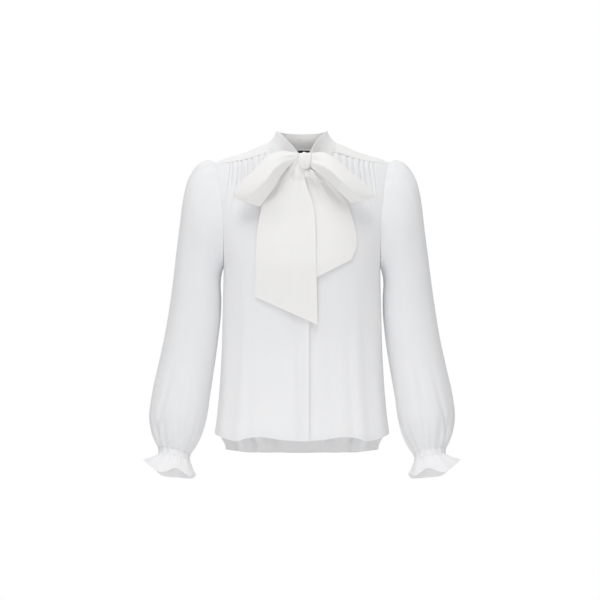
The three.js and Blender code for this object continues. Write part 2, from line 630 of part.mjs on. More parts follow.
// The knot: a small ball of wrapped cloth, with the wraps' edges as shallow grooves
function knot() {
  const geometry = new THREE.SphereGeometry(1, 20, 12);
  const points = [];
  const position = geometry.getAttribute("position");
  const places = new Map();
  const merged = [];
  for (let i = 0; i < position.count; i += 1) {
    const at = new Vector3().fromBufferAttribute(position, i);
    const key = [at.x, at.y, at.z].map((value) => Math.round(value * 1e4)).join(" ");
    if (!places.has(key)) {
      places.set(key, points.length);
      const square = Math.max(Math.abs(at.x), Math.abs(at.y), Math.abs(at.z));
      const groove = KNOT_FORM.groove * Math.cos(KNOT_FORM.wraps * at.x) ** 2;
      const size = lerp(1, 1 / square, KNOT_FORM.squareness) * (1 - groove);
      points.push(new Vector3(
        KNOT.x + KNOT.halfX * at.x * size,
        KNOT.y + KNOT.halfY * at.y * size,
        KNOT.z + KNOT.halfZ * at.z * size,
      ));
    }
    merged.push(places.get(key));
  }
  const index = geometry.getIndex().array;
  const triangles = [];
  for (let i = 0; i < index.length; i += 3) {
    const corners = [merged[index[i]], merged[index[i + 1]], merged[index[i + 2]]];
    if (new Set(corners).size === 3) triangles.push(corners);
  }
  return geometryOf(points, triangles);
}

// A loop of the bow: a ribbon that leaves the knot, folds back at its far end and comes home
function bowLoop(table) {
  return zipRows(Array.from({ length: LOOP_STEPS + 1 }, (_, i) => {
    const round = degToRad(lerp(LOOP.hidden, 360 - LOOP.hidden, i / LOOP_STEPS));
    const start = (1 - Math.cos(degToRad(LOOP.hidden))) / 2;
    const along = ((1 - Math.cos(round)) / 2 - start) / (1 - start);
    const edge = (column) => read(table, "along", column, along);
    return {
      at: LOOP_COLUMNS,
      points: LOOP_COLUMNS.map((share) => {
        const belly = Math.sin(Math.PI * share);
        const half = edge("half") * Math.abs(Math.sin(round)) ** LOOP.fullness * lerp(LOOP.edges, 1, belly);
        const y = edge("y") + Math.sign(Math.sin(round)) * half - LOOP.belly * belly * along;
        return new Vector3(
          lerp(edge("upperX"), edge("lowerX"), share), y, lerp(edge("upperZ"), edge("lowerZ"), share));
      }),
    };
  }));
}

// A tail of the tie: pleated where it leaves the knot, and cut aslant at its foot
function tail(table, end) {
  const top = table[table.length - 1].z;
  return zipRows(Array.from({ length: TAIL_STEPS + 1 }, (_, i) => ({
    at: TAIL_COLUMNS,
    points: TAIL_COLUMNS.map((share) => {
      const down = (i / TAIL_STEPS) ** 1.25;
      const z = lerp(top, lerp(end.left, end.right, share), down);
      const x = lerp(read(table, "z", "left", z), read(table, "z", "right", z), share);
      const { count, depth, from, length, top: above } = TAIL_PLEATS;
      const fade = (1 - smoothstep(top - z, from, length)) * smoothstep(top - z, 0, above);
      const pleat = depth * fade * Math.sin(2 * Math.PI * count * share);
      const point = bodyPoint(x, Math.min(z, TAIL_LEAVES_CHEST), false);
      return new Vector3(x, point.y - read(table, "z", "away", z) - pleat, z);
    }),
  })));
}

// The label lies against the inside of the yoke, under the collar seam
function label() {
  const inwards = CLOTH / 2 + 2 * LAID_ON_GAP + LABEL.thickness / 2;
  const shares = [-1, -0.5, 0, 0.5, 1];
  const rows = [0, 0.5, 1].map((down) => ({
    at: shares,
    points: shares.map((share) => overShoulder(share * LABEL.halfWidth, lerp(LABEL.top, LABEL.foot, down))),
  }));
  const surface = zipRows(rows);
  const normals = normalsOf(surface);
  surface.points.forEach((point, i) => {
    const inward = normals[i].y > 0 ? -inwards : inwards;
    point.addScaledVector(normals[i], inward);
  });
  return surface;
}

const cloth = (color) => new THREE.MeshStandardMaterial({ color, roughness: 0.85, metalness: 0 });
const SINGLE = cloth(0xeeeef2);
const FOLDED = cloth(0xf0efec);
const LABEL_BLACK = cloth(0x151517);

const blouse = new THREE.Group();
function add(name, geometry, material) {
  const mesh = new THREE.Mesh(geometry, material);
  mesh.name = name;
  blouse.add(mesh);
}

add("front_right", thicken(frontPanel(-1, FRONT_EDGE + SEAM_HALF_GAP), CLOTH), SINGLE);
add("front_left", thicken(frontPanel(1, -FRONT_EDGE + SEAM_HALF_GAP), CLOTH), SINGLE);
add("back", thicken(backPanel(), CLOTH), SINGLE);
add("yoke", thicken(yoke(), CLOTH), FOLDED);
add("placket", thicken(placket(), DOUBLE_CLOTH), FOLDED);
for (const [hand, side] of [["right", -1], ["left", 1]]) {
  add(`sleeve_${hand}`, thicken(sleeve(side), CLOTH), SINGLE);
  add(`cuff_band_${hand}`, thicken(cuffBand(side), CLOTH), SINGLE);
  add(`cuff_frill_${hand}`, thicken(frill(side), CLOTH), SINGLE);
}
add("collar", thicken(collar(), DOUBLE_CLOTH), FOLDED);
add("tie_knot", knot(), FOLDED);
add("tie_loop_right", thicken(bowLoop(RIGHT_LOOP), LOOP.thickness), FOLDED);
add("tie_loop_left", thicken(bowLoop(LEFT_LOOP), LOOP.thickness), FOLDED);
add("tie_tail_right", thicken(tail(RIGHT_TAIL, RIGHT_TAIL_END), DOUBLE_CLOTH), FOLDED);
add("tie_tail_left", thicken(tail(LEFT_TAIL, LEFT_TAIL_END), DOUBLE_CLOTH), FOLDED);
add("neck_label", thicken(label(), LABEL.thickness), LABEL_BLACK);

export default blouse;
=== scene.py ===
"""Tie neck blouse: ivory crepe, hollow as worn, with a soft bow, a gathered yoke and frilled cuffs.

Sizes in the tables are in millimetres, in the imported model's frame, and become metres in the meshes.
The front faces -Y, +Z is up, and the wearer's left is at +X.
"""

import bisect
import math
from functools import lru_cache

import bmesh
import bpy
from mathutils import Matrix, Vector, noise


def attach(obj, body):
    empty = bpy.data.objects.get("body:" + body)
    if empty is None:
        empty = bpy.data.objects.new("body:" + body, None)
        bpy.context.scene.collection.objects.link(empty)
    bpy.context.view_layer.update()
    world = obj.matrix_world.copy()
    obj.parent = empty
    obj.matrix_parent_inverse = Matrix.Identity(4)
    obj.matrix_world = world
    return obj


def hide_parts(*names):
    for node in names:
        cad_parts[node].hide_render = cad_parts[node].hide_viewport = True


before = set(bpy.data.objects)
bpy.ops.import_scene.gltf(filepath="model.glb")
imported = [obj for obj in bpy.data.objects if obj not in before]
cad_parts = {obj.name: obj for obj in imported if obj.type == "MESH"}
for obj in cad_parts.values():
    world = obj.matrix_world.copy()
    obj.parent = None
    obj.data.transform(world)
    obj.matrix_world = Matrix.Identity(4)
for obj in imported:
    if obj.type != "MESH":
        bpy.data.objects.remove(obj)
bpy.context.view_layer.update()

bl_info = {
    "name": "Tie Neck Blouse",
    "version": (1, 0, 0),
    "blender": (4, 5, 0),
    "location": "3D View > Sidebar > Blouse",
    "description": "Builds a tie neck blouse in crepe with its seams, gathers and bow",
    "category": "Object",
}

MM = 0.001
BODY_NAME = "root"


# Small tools


def lerp(a, b, t):
    return a + (b - a) * t


def clamp(value, low=0.0, high=1.0):
    return max(low, min(high, value))


def ease(value, start, end):
    """0 before start, 1 after end, smooth between them."""
    t = clamp((value - start) / (end - start))
    return t * t * (3 - 2 * t)


def bend(value, power):
    return math.copysign(abs(value) ** power, value)


def hump(away):
    """A raised fold's share of its full height, across it."""
    return 0.5 + 0.5 * math.cos(math.pi * away) if abs(away) < 1 else 0.0


def flutter(x, y, size, seed):
    """Soft uneven movement of cloth, about -1 to 1, that is the same on each run."""
    return noise.noise(Vector((x / size, y / size, seed * 7.31)))


class Table:
    """Rows with named columns, read smoothly by any column that rises."""

    def __init__(self, names, *rows):
        self.columns = dict(zip(names.split(), zip(*rows)))
        self.slopes = {}

    def tangents(self, by, column):
        if (by, column) not in self.slopes:
            x, y = self.columns[by], self.columns[column]
            steps = [(y[i + 1] - y[i]) / (x[i + 1] - x[i]) for i in range(len(x) - 1)]
            inner = [2 * a * b / (a + b) if a * b > 0 else 0.0 for a, b in zip(steps, steps[1:])]
            self.slopes[by, column] = [steps[0], *inner, steps[-1]]
        return self.slopes[by, column]

    def read(self, by, column, at):
        x, y = self.columns[by], self.columns[column]
        if at <= x[0]:
            return y[0]
        if at >= x[-1]:
            return y[-1]
        i = bisect.bisect_right(x, at) - 1
        slopes = self.tangents(by, column)
        span = x[i + 1] - x[i]
        t = (at - x[i]) / span
        leave = t * (1 - t) * (1 - t) * span * slopes[i]
        arrive = t * t * (t - 1) * span * slopes[i + 1]
        return lerp(y[i], y[i + 1], t * t * (3 - 2 * t)) + leave + arrive


# The body's form

BODY = Table(
    "z half front back",
    (-640, 182, 118, 117),
    (-580, 178, 117, 114),
    (-540, 173, 113, 108),
    (-470, 167, 108, 99),
    (-400, 163.5, 106, 94),
    (-320, 161.5, 110, 94),
    (-245, 160, 113, 99),
    (-200, 170, 107, 103),
    (-150, 181, 95, 103),
    (-100, 186, 80, 101),
    (-60, 187, 68, 99),
    (-20, 188, 63, 98),
    (30, 189, 62, 98),
)
SQUARENESS = 2.3
RIDGE = Table(
    "x z",
    (0, 26),
    (40, 24),
    (62, 18.5),
    (76, 13),
    (89, 7.2),
    (100, 1.8),
    (117, -4.8),
    (136, -10.8),
    (160, -17.8),
    (178, -25),
)
RIDGE_Y = 8
ROUNDING = 110
QUARTER = 130
ARMPIT_Z, SHOULDER_Z = -245, -25
ARMHOLE = Table(
    "z x",
    (-245, 160),
    (-200, 158.5),
    (-160, 159),
    (-120, 162),
    (-86, 166),
    (-50, 171.5),
    (-35, 174.8),
    (-25, 178),
)
FRONT_SEAM_TURN, BACK_SEAM_TURN = 160, 115
NECK_HALF, NECK_FRONT, NECK_BACK = 76, 112, 50
NECK_SEAM_TURN = 60
FRONT_HEM = Table("x z", (0, -587.5), (45, -584), (84, -579), (112, -583), (131, -589), (178, -580))
BACK_HEM = Table("x z", (0, -631), (80, -629), (158, -619))
SLIT_TOP, SLIT_FOOT, SLIT_TURN = -545, -619, 30
PLACKET_HALF = 14
PLACKET_LOW, PLACKET_HIGH = 0.7, 3.2  # how far its middle layer stands off, at its seam and its free edge
PLACKET_PUCKER, PLACKET_SWAY = 0.15, 0.2  # fine and wide unevenness
UNDER_PLACKET = 1.8  # how far the left front sinks under the free edge
UNDER_FROM, UNDER_TO = (6, 12), (18, 34)  # across it, where that sinking begins and where it ends
NECK_ALLOWANCE = 3.0  # of the panels, up behind the collar
FRONT_EDGE = 13.2
SEAM_ROUNDS = 20  # rounds that settle where a line down the front meets the yoke


def ridge_z(x):
    return RIDGE.read("x", "z", abs(x))


def armhole_x(z):
    return ARMHOLE.read("z", "x", z)


def armhole_z(turn):
    middle, half = (ARMPIT_Z + SHOULDER_Z) / 2, (SHOULDER_Z - ARMPIT_Z) / 2
    return middle - half * math.cos(math.radians(turn))


@lru_cache(maxsize=None)
def body_ring(z, back):
    return BODY.read("z", "half", z), BODY.read("z", "back" if back else "front", z)


def body_point(x, z, back):
    half, depth = body_ring(z, back)
    share = max(0.0, 1 - (abs(x) / half) ** SQUARENESS) ** (1 / SQUARENESS)
    fall = clamp((ridge_z(x) - z) / ROUNDING)
    turned = math.sqrt(1 - (1 - fall) ** 2)
    reach = depth * share if back else -depth * share
    return Vector((x, RIDGE_Y + (reach - RIDGE_Y) * turned, z))


def drop_of(length):
    turn = min(1.0, abs(length) / QUARTER) * math.pi / 2
    return ROUNDING * (1 - math.cos(turn)) + max(0.0, abs(length) - QUARTER)


def length_of(drop):
    if drop < ROUNDING:
        return QUARTER * math.acos(1 - drop / ROUNDING) / (math.pi / 2)
    return QUARTER + drop - ROUNDING


def over_shoulder(x, length):
    return body_point(x, ridge_z(x) - drop_of(length), length > 0)


def neck_seam(turn):
    angle = math.radians(turn)
    reach = NECK_FRONT if math.cos(angle) > 0 else NECK_BACK
    return NECK_HALF * math.sin(angle), -reach * math.cos(angle)


SEAM_NECK_X, SEAM_NECK_LENGTH = neck_seam(NECK_SEAM_TURN)
SEAM_ARM_Z = armhole_z(FRONT_SEAM_TURN)
SEAM_ARM_X = armhole_x(SEAM_ARM_Z)
BACK_SEAM_Z = armhole_z(BACK_SEAM_TURN)
BACK_CORNER_X = armhole_x(BACK_SEAM_Z)


def front_seam_length(x):
    share = (x - SEAM_NECK_X) / (SEAM_ARM_X - SEAM_NECK_X)
    return -length_of(lerp(drop_of(SEAM_NECK_LENGTH), ridge_z(SEAM_ARM_X) - SEAM_ARM_Z, share))


def front_top_z(x):
    if x > SEAM_NECK_X:
        return ridge_z(x) - drop_of(front_seam_length(x))
    return ridge_z(x) - drop_of(-NECK_FRONT * math.sqrt(1 - (x / NECK_HALF) ** 2))


def across_x(share, z, inner_x, back):
    half = body_ring(z, back)[0]

    def angle_at(x):
        return math.asin(clamp(bend(x / half, SQUARENESS / 2), -1, 1))

    side = math.pi / 2 if z < ARMPIT_Z else angle_at(armhole_x(z))
    if back:
        side -= math.radians(SLIT_TURN) * ease(-z, -SLIT_TOP, -SLIT_FOOT)
    return half * bend(math.sin(lerp(angle_at(inner_x), side, share)), 2 / SQUARENESS)


# Gathers and folds of the body

GATHER_FROM, GATHER_TO = 0.2, 0.78
GATHER_DEPTHS = (2.2, 2.8, 2.0, 3.0, 2.2, 3.2, 2.0, 2.8, 1.8)
GATHER_LENGTHS = (70, 95, 60, 120, 75, 135, 70, 110, 60)
FRONT_FOLDS = ((0.46, 0.1, 5, -190), (0.3, 0.09, 2, -330), (0.72, 0.12, 2.5, -260))
BACK_FOLDS = ((0.2, 0.1, 5, -140), (0.46, 0.09, 6, -120), (0.74, 0.09, 4, -200))


def folds_out(folds, share, z):
    """How far the long folds stand out; each has a place, a width, a depth at the hem and a top."""
    return sum(
        depth * hump((share - at) / width) * ease(top - z, 0, top + 580)
        for at, width, depth, top in folds
    )


def gathers_out(share, below, side):
    """The gathers under the yoke, which slant outwards: valleys sunk between rounded ridges."""
    count = len(GATHER_DEPTHS)
    slant = lerp(0.06, 0.42, clamp((share - GATHER_FROM) / (GATHER_TO - GATHER_FROM)))
    share -= slant * below / 175
    drift = 0.5 * flutter(below, share * 40, 45, side) * ease(below, 0, 60)
    place = (share - GATHER_FROM) / (GATHER_TO - GATHER_FROM) * count + drift
    if not 0 < place < count:
        return 0.0
    depth, length = GATHER_DEPTHS[int(place)], GATHER_LENGTHS[int(place)]
    inside = ease(place, 0, 0.5) * ease(count - place, 0, 0.5)
    ridge = abs(math.sin(math.pi * place)) ** 0.8
    deep = 1.6 * depth * (1 - ease(below, 6, length)) * (ridge - 1)
    small = 0.5 * (1 - ease(below, 2, 22)) * math.sin(3 * math.pi * place + 1)
    return (deep + small) * inside


def soft_body(x, z, seed):
    """The slight unevenness of hanging cloth, stretched down its length."""
    wide = 1.5 * flutter(x, z * 0.22, 46, seed)
    fine = 0.35 * flutter(x, z * 0.3, 17, seed + 3)
    return wide + fine


# Cloth pieces as bmesh grids


def set_facing(bm, facing):
    """Turns the faces so that they point the way that facing gives at their middles."""
    total = sum(
        face.normal.dot(facing(face.calc_center_median())) * face.calc_area() for face in bm.faces
    )
    if total < 0:
        bmesh.ops.reverse_faces(bm, faces=bm.faces)
        bm.normal_update()


def turn_in(bm, places, edge_is_turned, depth):
    """Turns the chosen open edges into the seam, where their allowance stands."""
    chosen = [
        edge
        for edge in bm.edges
        if edge.is_boundary and all(edge_is_turned(*places[v]) for v in edge.verts)
    ]
    if not chosen:
        return
    normals = {v: v.normal.copy() for edge in chosen for v in edge.verts}
    made = bmesh.ops.extrude_edge_only(bm, edges=chosen)
    new = [item for item in made["geom"] if isinstance(item, bmesh.types.BMVert)]
    for v in new:
        nearest = min(normals, key=lambda old: (old.co - v.co).length_squared)
        v.co -= normals[nearest] * depth * MM
        places[v] = (-1.0, -1.0)


def mark_sharp(bm, degrees=40):
    limit = math.radians(degrees)
    for edge in bm.edges:
        edge.smooth = not (len(edge.link_faces) == 2 and edge.calc_face_angle(0) > limit)
    for face in bm.faces:
        face.smooth = True


def cloth(name, columns, rows, place, facing, size, thickness, closed=False, turned=()):
    """A wall of cloth over a grid: place gives the point, in millimetres, at a share across and down it.

    size is the cut's width and length in millimetres, which the UV map lies in, in metres.
    """
    bm = bmesh.new()
    uv = bm.loops.layers.uv.new("Cut")
    bmesh.ops.create_grid(bm, x_segments=columns, y_segments=rows, size=0.5)
    places = {v: (v.co.x + 0.5, v.co.y + 0.5) for v in bm.verts}
    for face in bm.faces:
        for loop in face.loops:
            across, down = places[loop.vert]
            loop[uv].uv = (across * size[0] * MM, down * size[1] * MM)
    for v, (across, down) in places.items():
        v.co = place(across, down) * MM
    if closed:
        bmesh.ops.remove_doubles(bm, verts=bm.verts, dist=1e-6)
        places = {v: places.get(v, (0.0, 0.0)) for v in bm.verts}
    bm.normal_update()
    set_facing(bm, facing)
    for edge_is_turned, depth in turned:
        turn_in(bm, places, edge_is_turned, depth)
        bm.normal_update()
    shift = thickness / 2 * MM
    for v, normal in [(v, v.normal.copy()) for v in bm.verts]:
        v.co += normal * shift
    bmesh.ops.solidify(bm, geom=list(bm.faces), thickness=thickness * MM)
    bmesh.ops.recalc_face_normals(bm, faces=bm.faces)
    mark_sharp(bm)
    return finished(name, bm)


def finished(name, bm):
    mesh = bpy.data.meshes.new(name)
    bm.to_mesh(mesh)
    bm.free()
    piece = bpy.data.objects.new(name, mesh)
    bpy.context.scene.collection.objects.link(piece)
    return piece


def dress(piece, node, material):
    """Gives a piece its place and its material, and hides the model's part for the node that it stands for.
    """
    piece.data.materials.clear()
    piece.data.materials.append(material)
    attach(piece, BODY_NAME)
    if node:
        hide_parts(node)
    return piece


def towards(x, y, z):
    direction = Vector((x, y, z))
    return lambda at: direction


def away_from_axis(centre_at):
    """Facing away from a line that runs through a hollow piece; centre_at gives it in metres."""
    return lambda at: at - centre_at(at)


# The body's pieces


def front_place(side, inner_x):
    lowest, highest = -580, SEAM_ARM_Z

    @lru_cache(maxsize=None)
    def column(share):
        top = highest
        for _ in range(SEAM_ROUNDS):
            top = front_top_z(abs(across_x(share, top, inner_x, False)))
        hem = FRONT_HEM.read("x", "z", abs(across_x(share, lowest, inner_x, False)))
        return top, hem

    def place(share, up):
        top, hem = column(share)
        z = lerp(hem, top, up)
        x = across_x(share, z, inner_x, False)
        z += NECK_ALLOWANCE * ease(up, 0.97, 1) * ease(SEAM_NECK_X - x, 0, 5)
        point = body_point(x, z, False)
        calm = ease(share, 0.02, 0.16) * ease(1 - share, 0, 0.12)
        out = folds_out(FRONT_FOLDS, share, z) + gathers_out(share, top - z, side)
        out += soft_body(side * point.x, z, side) * calm
        point.y -= out
        if side > 0:
            point.y += UNDER_PLACKET * ease(x, *UNDER_FROM) * (1 - ease(x, *UNDER_TO))
        point.x *= side
        return point

    return place


def back_place(across, up):
    share = 2 * across - 1
    wide = abs(share)
    hem = BACK_HEM.read("x", "z", wide * BACK_HEM.columns["x"][-1])
    z = lerp(hem, BACK_SEAM_Z, up)
    point = body_point(math.copysign(across_x(wide, z, 0, True), share), z, True)
    calm = ease(1 - wide, 0, 0.12) * ease(1 - up, 0, 0.08)
    tucks = 1.1 * math.sin(share * 44) * (1 - ease(BACK_SEAM_Z - z, 4, 70)) * ease(0.5 - wide, -0.1, 0.2)
    point.y += folds_out(BACK_FOLDS, wide, z) + soft_body(point.x, z, 5) * calm + tucks
    return point


YOKE_TURNS = (160, 180, 160, 140, 115)
YOKE_NECK = (60, 82, 96, 112, 132)
YOKE_BACK_STEPS = 8


def yoke_line(step):
    """The neck end and the outer end of the yoke's line at a step round it, from the front seam."""
    last_arm = len(YOKE_TURNS) - 1
    if step <= last_arm:
        i = min(int(step), last_arm - 1)
        turn = lerp(YOKE_TURNS[i], YOKE_TURNS[i + 1], step - i)
        z = armhole_z(turn)
        x = armhole_x(z)
        side = -1 if step < 1 else 1
        length = side * length_of(max(0.0, ridge_z(x) - z))
        return neck_seam(lerp(YOKE_NECK[i], YOKE_NECK[i + 1], step - i)), (x, length)
    share = (step - last_arm) / YOKE_BACK_STEPS
    x = BACK_CORNER_X * (1 - share)
    length = length_of(ridge_z(x) - BACK_SEAM_Z)
    return neck_seam(lerp(YOKE_NECK[-1], 180, share)), (x, length)


def yoke_place(across, out):
    steps = len(YOKE_TURNS) - 1 + YOKE_BACK_STEPS
    out = lerp(-NECK_ALLOWANCE / 90, 1, out)
    round_it = 2 * across - 1
    step = (1 - abs(round_it)) * steps
    (neck_x, neck_length), (end_x, end_length) = yoke_line(step)
    x = lerp(neck_x, end_x, out)
    length = lerp(neck_length, end_length, out)
    if step < 1:
        length = lerp(front_seam_length(x), length, ease(step, 0, 1))
    point = over_shoulder(x, length)
    point.x = math.copysign(point.x, -round_it if round_it else 1)
    return point


def placket_place(across, up):
    x = lerp(-PLACKET_HALF, PLACKET_HALF, across)
    z = lerp(FRONT_HEM.read("x", "z", abs(x)), front_top_z(abs(x)), up)
    point = body_point(x, z, False)
    pucker = PLACKET_PUCKER * flutter(x, z, 9, 11) + PLACKET_SWAY * flutter(x * 0.5, z, 34, 12)
    stands = lerp(PLACKET_LOW, PLACKET_HIGH, ease(x, -2, PLACKET_HALF))
    point.y -= stands + pucker * ease(x, -PLACKET_HALF, -6)
    return point


# Sleeves and cuffs

WRIST_GATHERS = 14
SLEEVE = Table(
    "row inner_x inner_z outer_x outer_z depth y tip cling wave head",
    (0, 161, -245, 178, -25, 58, 4, 0, 1, 0, 0),
    (1, 163.6, -247, 191, -21.5, 58, 4, 0, 0.9, 0, 1),
    (2, 165, -251, 208, -27, 59, 4, 0, 0.72, 0, 0.8),
    (3, 166, -257, 223, -43, 60, 4, 0, 0.52, 0, 0.6),
    (4, 167, -265, 235, -67, 60, 4, 0, 0.34, 0, 0.4),
    (5, 167.5, -275, 243.5, -103, 59, 4, 0, 0.2, 0, 0.2),
    (6, 167, -289, 250.5, -157, 57, 4, 0, 0.09, 0, 0),
    (7, 166, -307, 259, -223, 55, 3, 1, 0.03, 0, 0),
    (8, 166.5, -336, 268.5, -300, 54, 1, 3, 0, 0, 0),
    (9, 172, -392, 281, -382, 55, -5, 6, 0, 0, 0),
    (10, 180, -448, 294, -446, 57, -13, 9, 0, 0, 0),
    (11, 188, -500, 304.5, -499, 60, -24, 11, 0, 0, 0),
    (12, 194.5, -545, 309, -541, 60, -35, 13, 0, 0.4, 0),
    (13, 203.5, -578, 304.5, -571, 54, -43, 15, 0, 1.1, 0),
    (14, 216.5, -604, 296, -593, 44, -50, 16, 0, 1.6, 0),
    (15, 226, -619, 289, -607, 34, -54, 17, 0, 0.9, 0),
)
SLEEVE_ROWS = Table(
    "down row",
    (0, 0), (0.02, 1), (0.05, 2), (0.085, 3), (0.125, 4), (0.175, 5), (0.245, 6), (0.335, 7),
    (0.45, 8), (0.58, 9), (0.69, 10), (0.785, 11), (0.865, 12), (0.925, 13), (0.97, 14), (1, 15),
)
CUFF = Table(
    "row inner_x inner_z outer_x outer_z depth y tip wave",
    (0, 226.1, -619.2, 289, -607.2, 33.9, -54.1, 17, 0.9),
    (0.5, 227.5, -627, 288.5, -614.5, 33, -56, 17, 0.5),
    (1, 226.5, -633.6, 290.6, -620, 33.7, -57.8, 17, 0.6),
)
FRILL = Table(
    "row inner_x inner_z outer_x outer_z depth y tip wave lobe",
    (0, 226.4, -633.4, 290.8, -620, 33.8, -57.8, 17, 0.6, 0),
    (0.33, 222.5, -643, 299.5, -624, 39, -60, 15.5, 0.8, 0.9),
    (0.67, 219, -650, 309.5, -627, 44, -62.5, 13.5, 0.8, 2.4),
    (1, 216, -654, 318.5, -630, 48, -65, 11.5, 0.8, 4.2),
)
# The big waves of the rim: -1 hangs low and out, 1 is drawn up
FRILL_LOBE = Table(
    "turn lobe",
    (0, -0.4), (36, -0.9), (70, 1), (106, -1), (142, -0.2), (180, 0.3), (214, 0.7), (250, -0.9),
    (286, -0.4), (322, -0.8), (360, -0.4),
)
FRILL_RISE, FRILL_SAG = 7.5, 12
FRILL_WAVES, FRILL_PLEATS, FRILL_PLEAT_DEPTH, FRILL_UNEVENNESS = 10, 30, 0.7, 1.2
HEAD_FROM, HEAD_TO, HEAD_COUNT, HEAD_DEPTH = 110, 250, 7, 1.8
# Creases that run up from the wrist: turn at the wrist, drift on the way up, depth, width and reach
SLEEVE_CREASES = (
    (154, -40, 5, 7, 0.36),
    (72, 11, 5, 7, 0.34),
    (52, 4, 1.6, 5, 0.12),
    (88, 3, 1.7, 5, 0.12),
    (104, 3, 1.5, 5, 0.09),
    (121, -4, 1.7, 5, 0.12),
    (30, -6, 2.2, 7, 0.2),
    (215, 20, 3.4, 8, 0.3),
    (252, -8, 2.4, 7, 0.18),
    (300, 10, 3.2, 8, 0.26),
    (340, -5, 2.2, 6, 0.15),
)
CREASE_SWAY = 2  # degrees that a crease wanders
CREASE_FADE, CREASE_FOOT = 0.8, 0.12  # how it dies away upwards, and the share over which it rises


@lru_cache(maxsize=None)
def ring_of(table, row):
    names = ("inner_x", "inner_z", "outer_x", "outer_z", "depth", "y", "tip", "wave")
    return {name: table.read("row", name, row) for name in names}


def ring_point(ring, turn, out=0.0, drop=0.0):
    angle = math.radians(turn)
    across = Vector((ring["outer_x"] - ring["inner_x"], 0, ring["outer_z"] - ring["inner_z"])) / 2
    tip = math.radians(ring["tip"])
    forward = Vector((0, -math.cos(tip), math.sin(tip)))
    centre = Vector(
        ((ring["inner_x"] + ring["outer_x"]) / 2, ring["y"], (ring["inner_z"] + ring["outer_z"]) / 2)
    )
    centre -= across * (math.cos(angle) * (1 + out / across.length))
    centre += forward * (math.sin(angle) * (ring["depth"] + out))
    centre.z -= drop
    return centre


def armhole_point(turn):
    z = armhole_z(turn)
    return body_point(armhole_x(z), z, turn > 180)


def unevenness(turn):
    wide = 0.25 * math.sin(math.radians(3 * turn + 40))
    return 1 + wide + 0.15 * math.sin(math.radians(5 * turn))


def wave_at(turn, count, sharpness=1.0):
    """A gather's wave, with narrow valleys when sharp."""
    wave = math.cos(math.radians(count * turn))
    return 1 - 2 * (0.5 - 0.5 * wave) ** sharpness if sharpness != 1 else wave


def creases_in(turn, down):
    total = 0.0
    for at, drift, depth, width, reach in SLEEVE_CREASES:
        up = (1 - down) / reach
        if up < 1:
            middle = at + drift * (1 - (1 - up) ** 3) + CREASE_SWAY * flutter(down * 300, at, 40, 2)
            away = ((turn - middle + 180) % 360 - 180) / width
            total += depth * math.exp(-away * away) * (1 - up) ** CREASE_FADE * ease(up, 0, CREASE_FOOT)
    return total


def sleeve_place(side):
    start = ring_of(SLEEVE, 0)

    def place(across, up):
        down = 1 - up
        turn = 360 * across
        row = SLEEVE_ROWS.read("down", "row", down)
        ring = ring_of(SLEEVE, row)
        cling = SLEEVE.read("row", "cling", row)
        head = SLEEVE.read("row", "head", row)
        out = ring["wave"] * unevenness(turn) * wave_at(turn, WRIST_GATHERS, 1.4)
        share = (turn - HEAD_FROM) / (HEAD_TO - HEAD_FROM)
        if 0 < share < 1 and head > 0:
            out += HEAD_DEPTH * head * abs(math.sin(math.pi * HEAD_COUNT * share)) ** 1.4
        calm = ease(down, 0.03, 0.2)
        out += calm * (1.5 * flutter(turn * 0.5, row * 6, 17, side) - creases_in(turn, down))
        point = ring_point(ring, turn, out)
        if cling > 0.001:
            point += (armhole_point(turn) - ring_point(start, turn)) * cling
        near_pit = 0.5 + 0.5 * math.cos(math.radians(turn))
        point.x += (0.4 + 1.6 * near_pit**3) * (1 - ease(down, 0, 0.03))
        point.x *= side
        return point

    return place


def cuff_place(side):
    def place(across, up):
        turn = 360 * across
        ring = ring_of(CUFF, 1 - up)
        ruche = 0.45 * math.sin(math.radians(42 * turn) + 2 * flutter(turn, 0, 30, 4))
        out = ring["wave"] * unevenness(turn) * wave_at(turn, WRIST_GATHERS) + ruche
        point = ring_point(ring, turn, out)
        point.x *= side
        return point

    return place


def frill_place(side):
    def place(across, up):
        turn = 360 * across
        down = 1 - up
        ring = ring_of(FRILL, down)
        lobe = FRILL_LOBE.read("turn", "lobe", turn % 360)
        pleat = math.sin(math.radians(FRILL_PLEATS * turn)) * (1 - ease(down, 0.1, 0.75)) * FRILL_PLEAT_DEPTH
        out = ring["wave"] * wave_at(turn, FRILL_WAVES) + pleat - FRILL.read("row", "lobe", down) * lobe
        out += FRILL_UNEVENNESS * down * flutter(turn, down * 20, 40, side)
        sag = FRILL_SAG * math.sin(math.radians(turn)) ** 2
        point = ring_point(ring, turn, out, down**1.3 * (sag - FRILL_RISE * lobe))
        point.x *= side
        return point

    return place


# Collar and bow

COLLAR_TOP = Table(
    "turn x y z",
    (14, 6, -85, -21),
    (30, 21, -74, 2),
    (50, 34, -52, 19),
    (70, 45, -25, 33),
    (90, 51, 4, 39.5),
    (120, 44, 31, 39),
    (150, 25, 45, 37.5),
    (180, 0, 50, 37),
)
COLLAR_END = Vector((5, -85, -34))
COLLAR_START, COLLAR_JOINS, COLLAR_SHIFT, COLLAR_OFF, COLLAR_ROLL = 14, 46, 4, 1.75, 3.5
KNOT = Vector((5.5, -100, -31))
KNOT_HALF = Vector((14, 12.5, 18))
KNOT_FOOT, KNOT_HEAD = 0.7, 1.25  # its widths at the foot and the head, over its middle width
KNOT_PLEATS = ((-0.55, 0.05), (-0.08, 0.08), (0.5, 0.06))  # place across, depth
LOOP_HIDDEN, LOOP_FULLNESS, LOOP_BELLY = 26, 0.6, 2.5
LOOP_BACK_EDGES, LOOP_FRONT_EDGES, LOOP_RIDGE = 0.75, 0.1, 0.6  # shares of the loop's half thickness
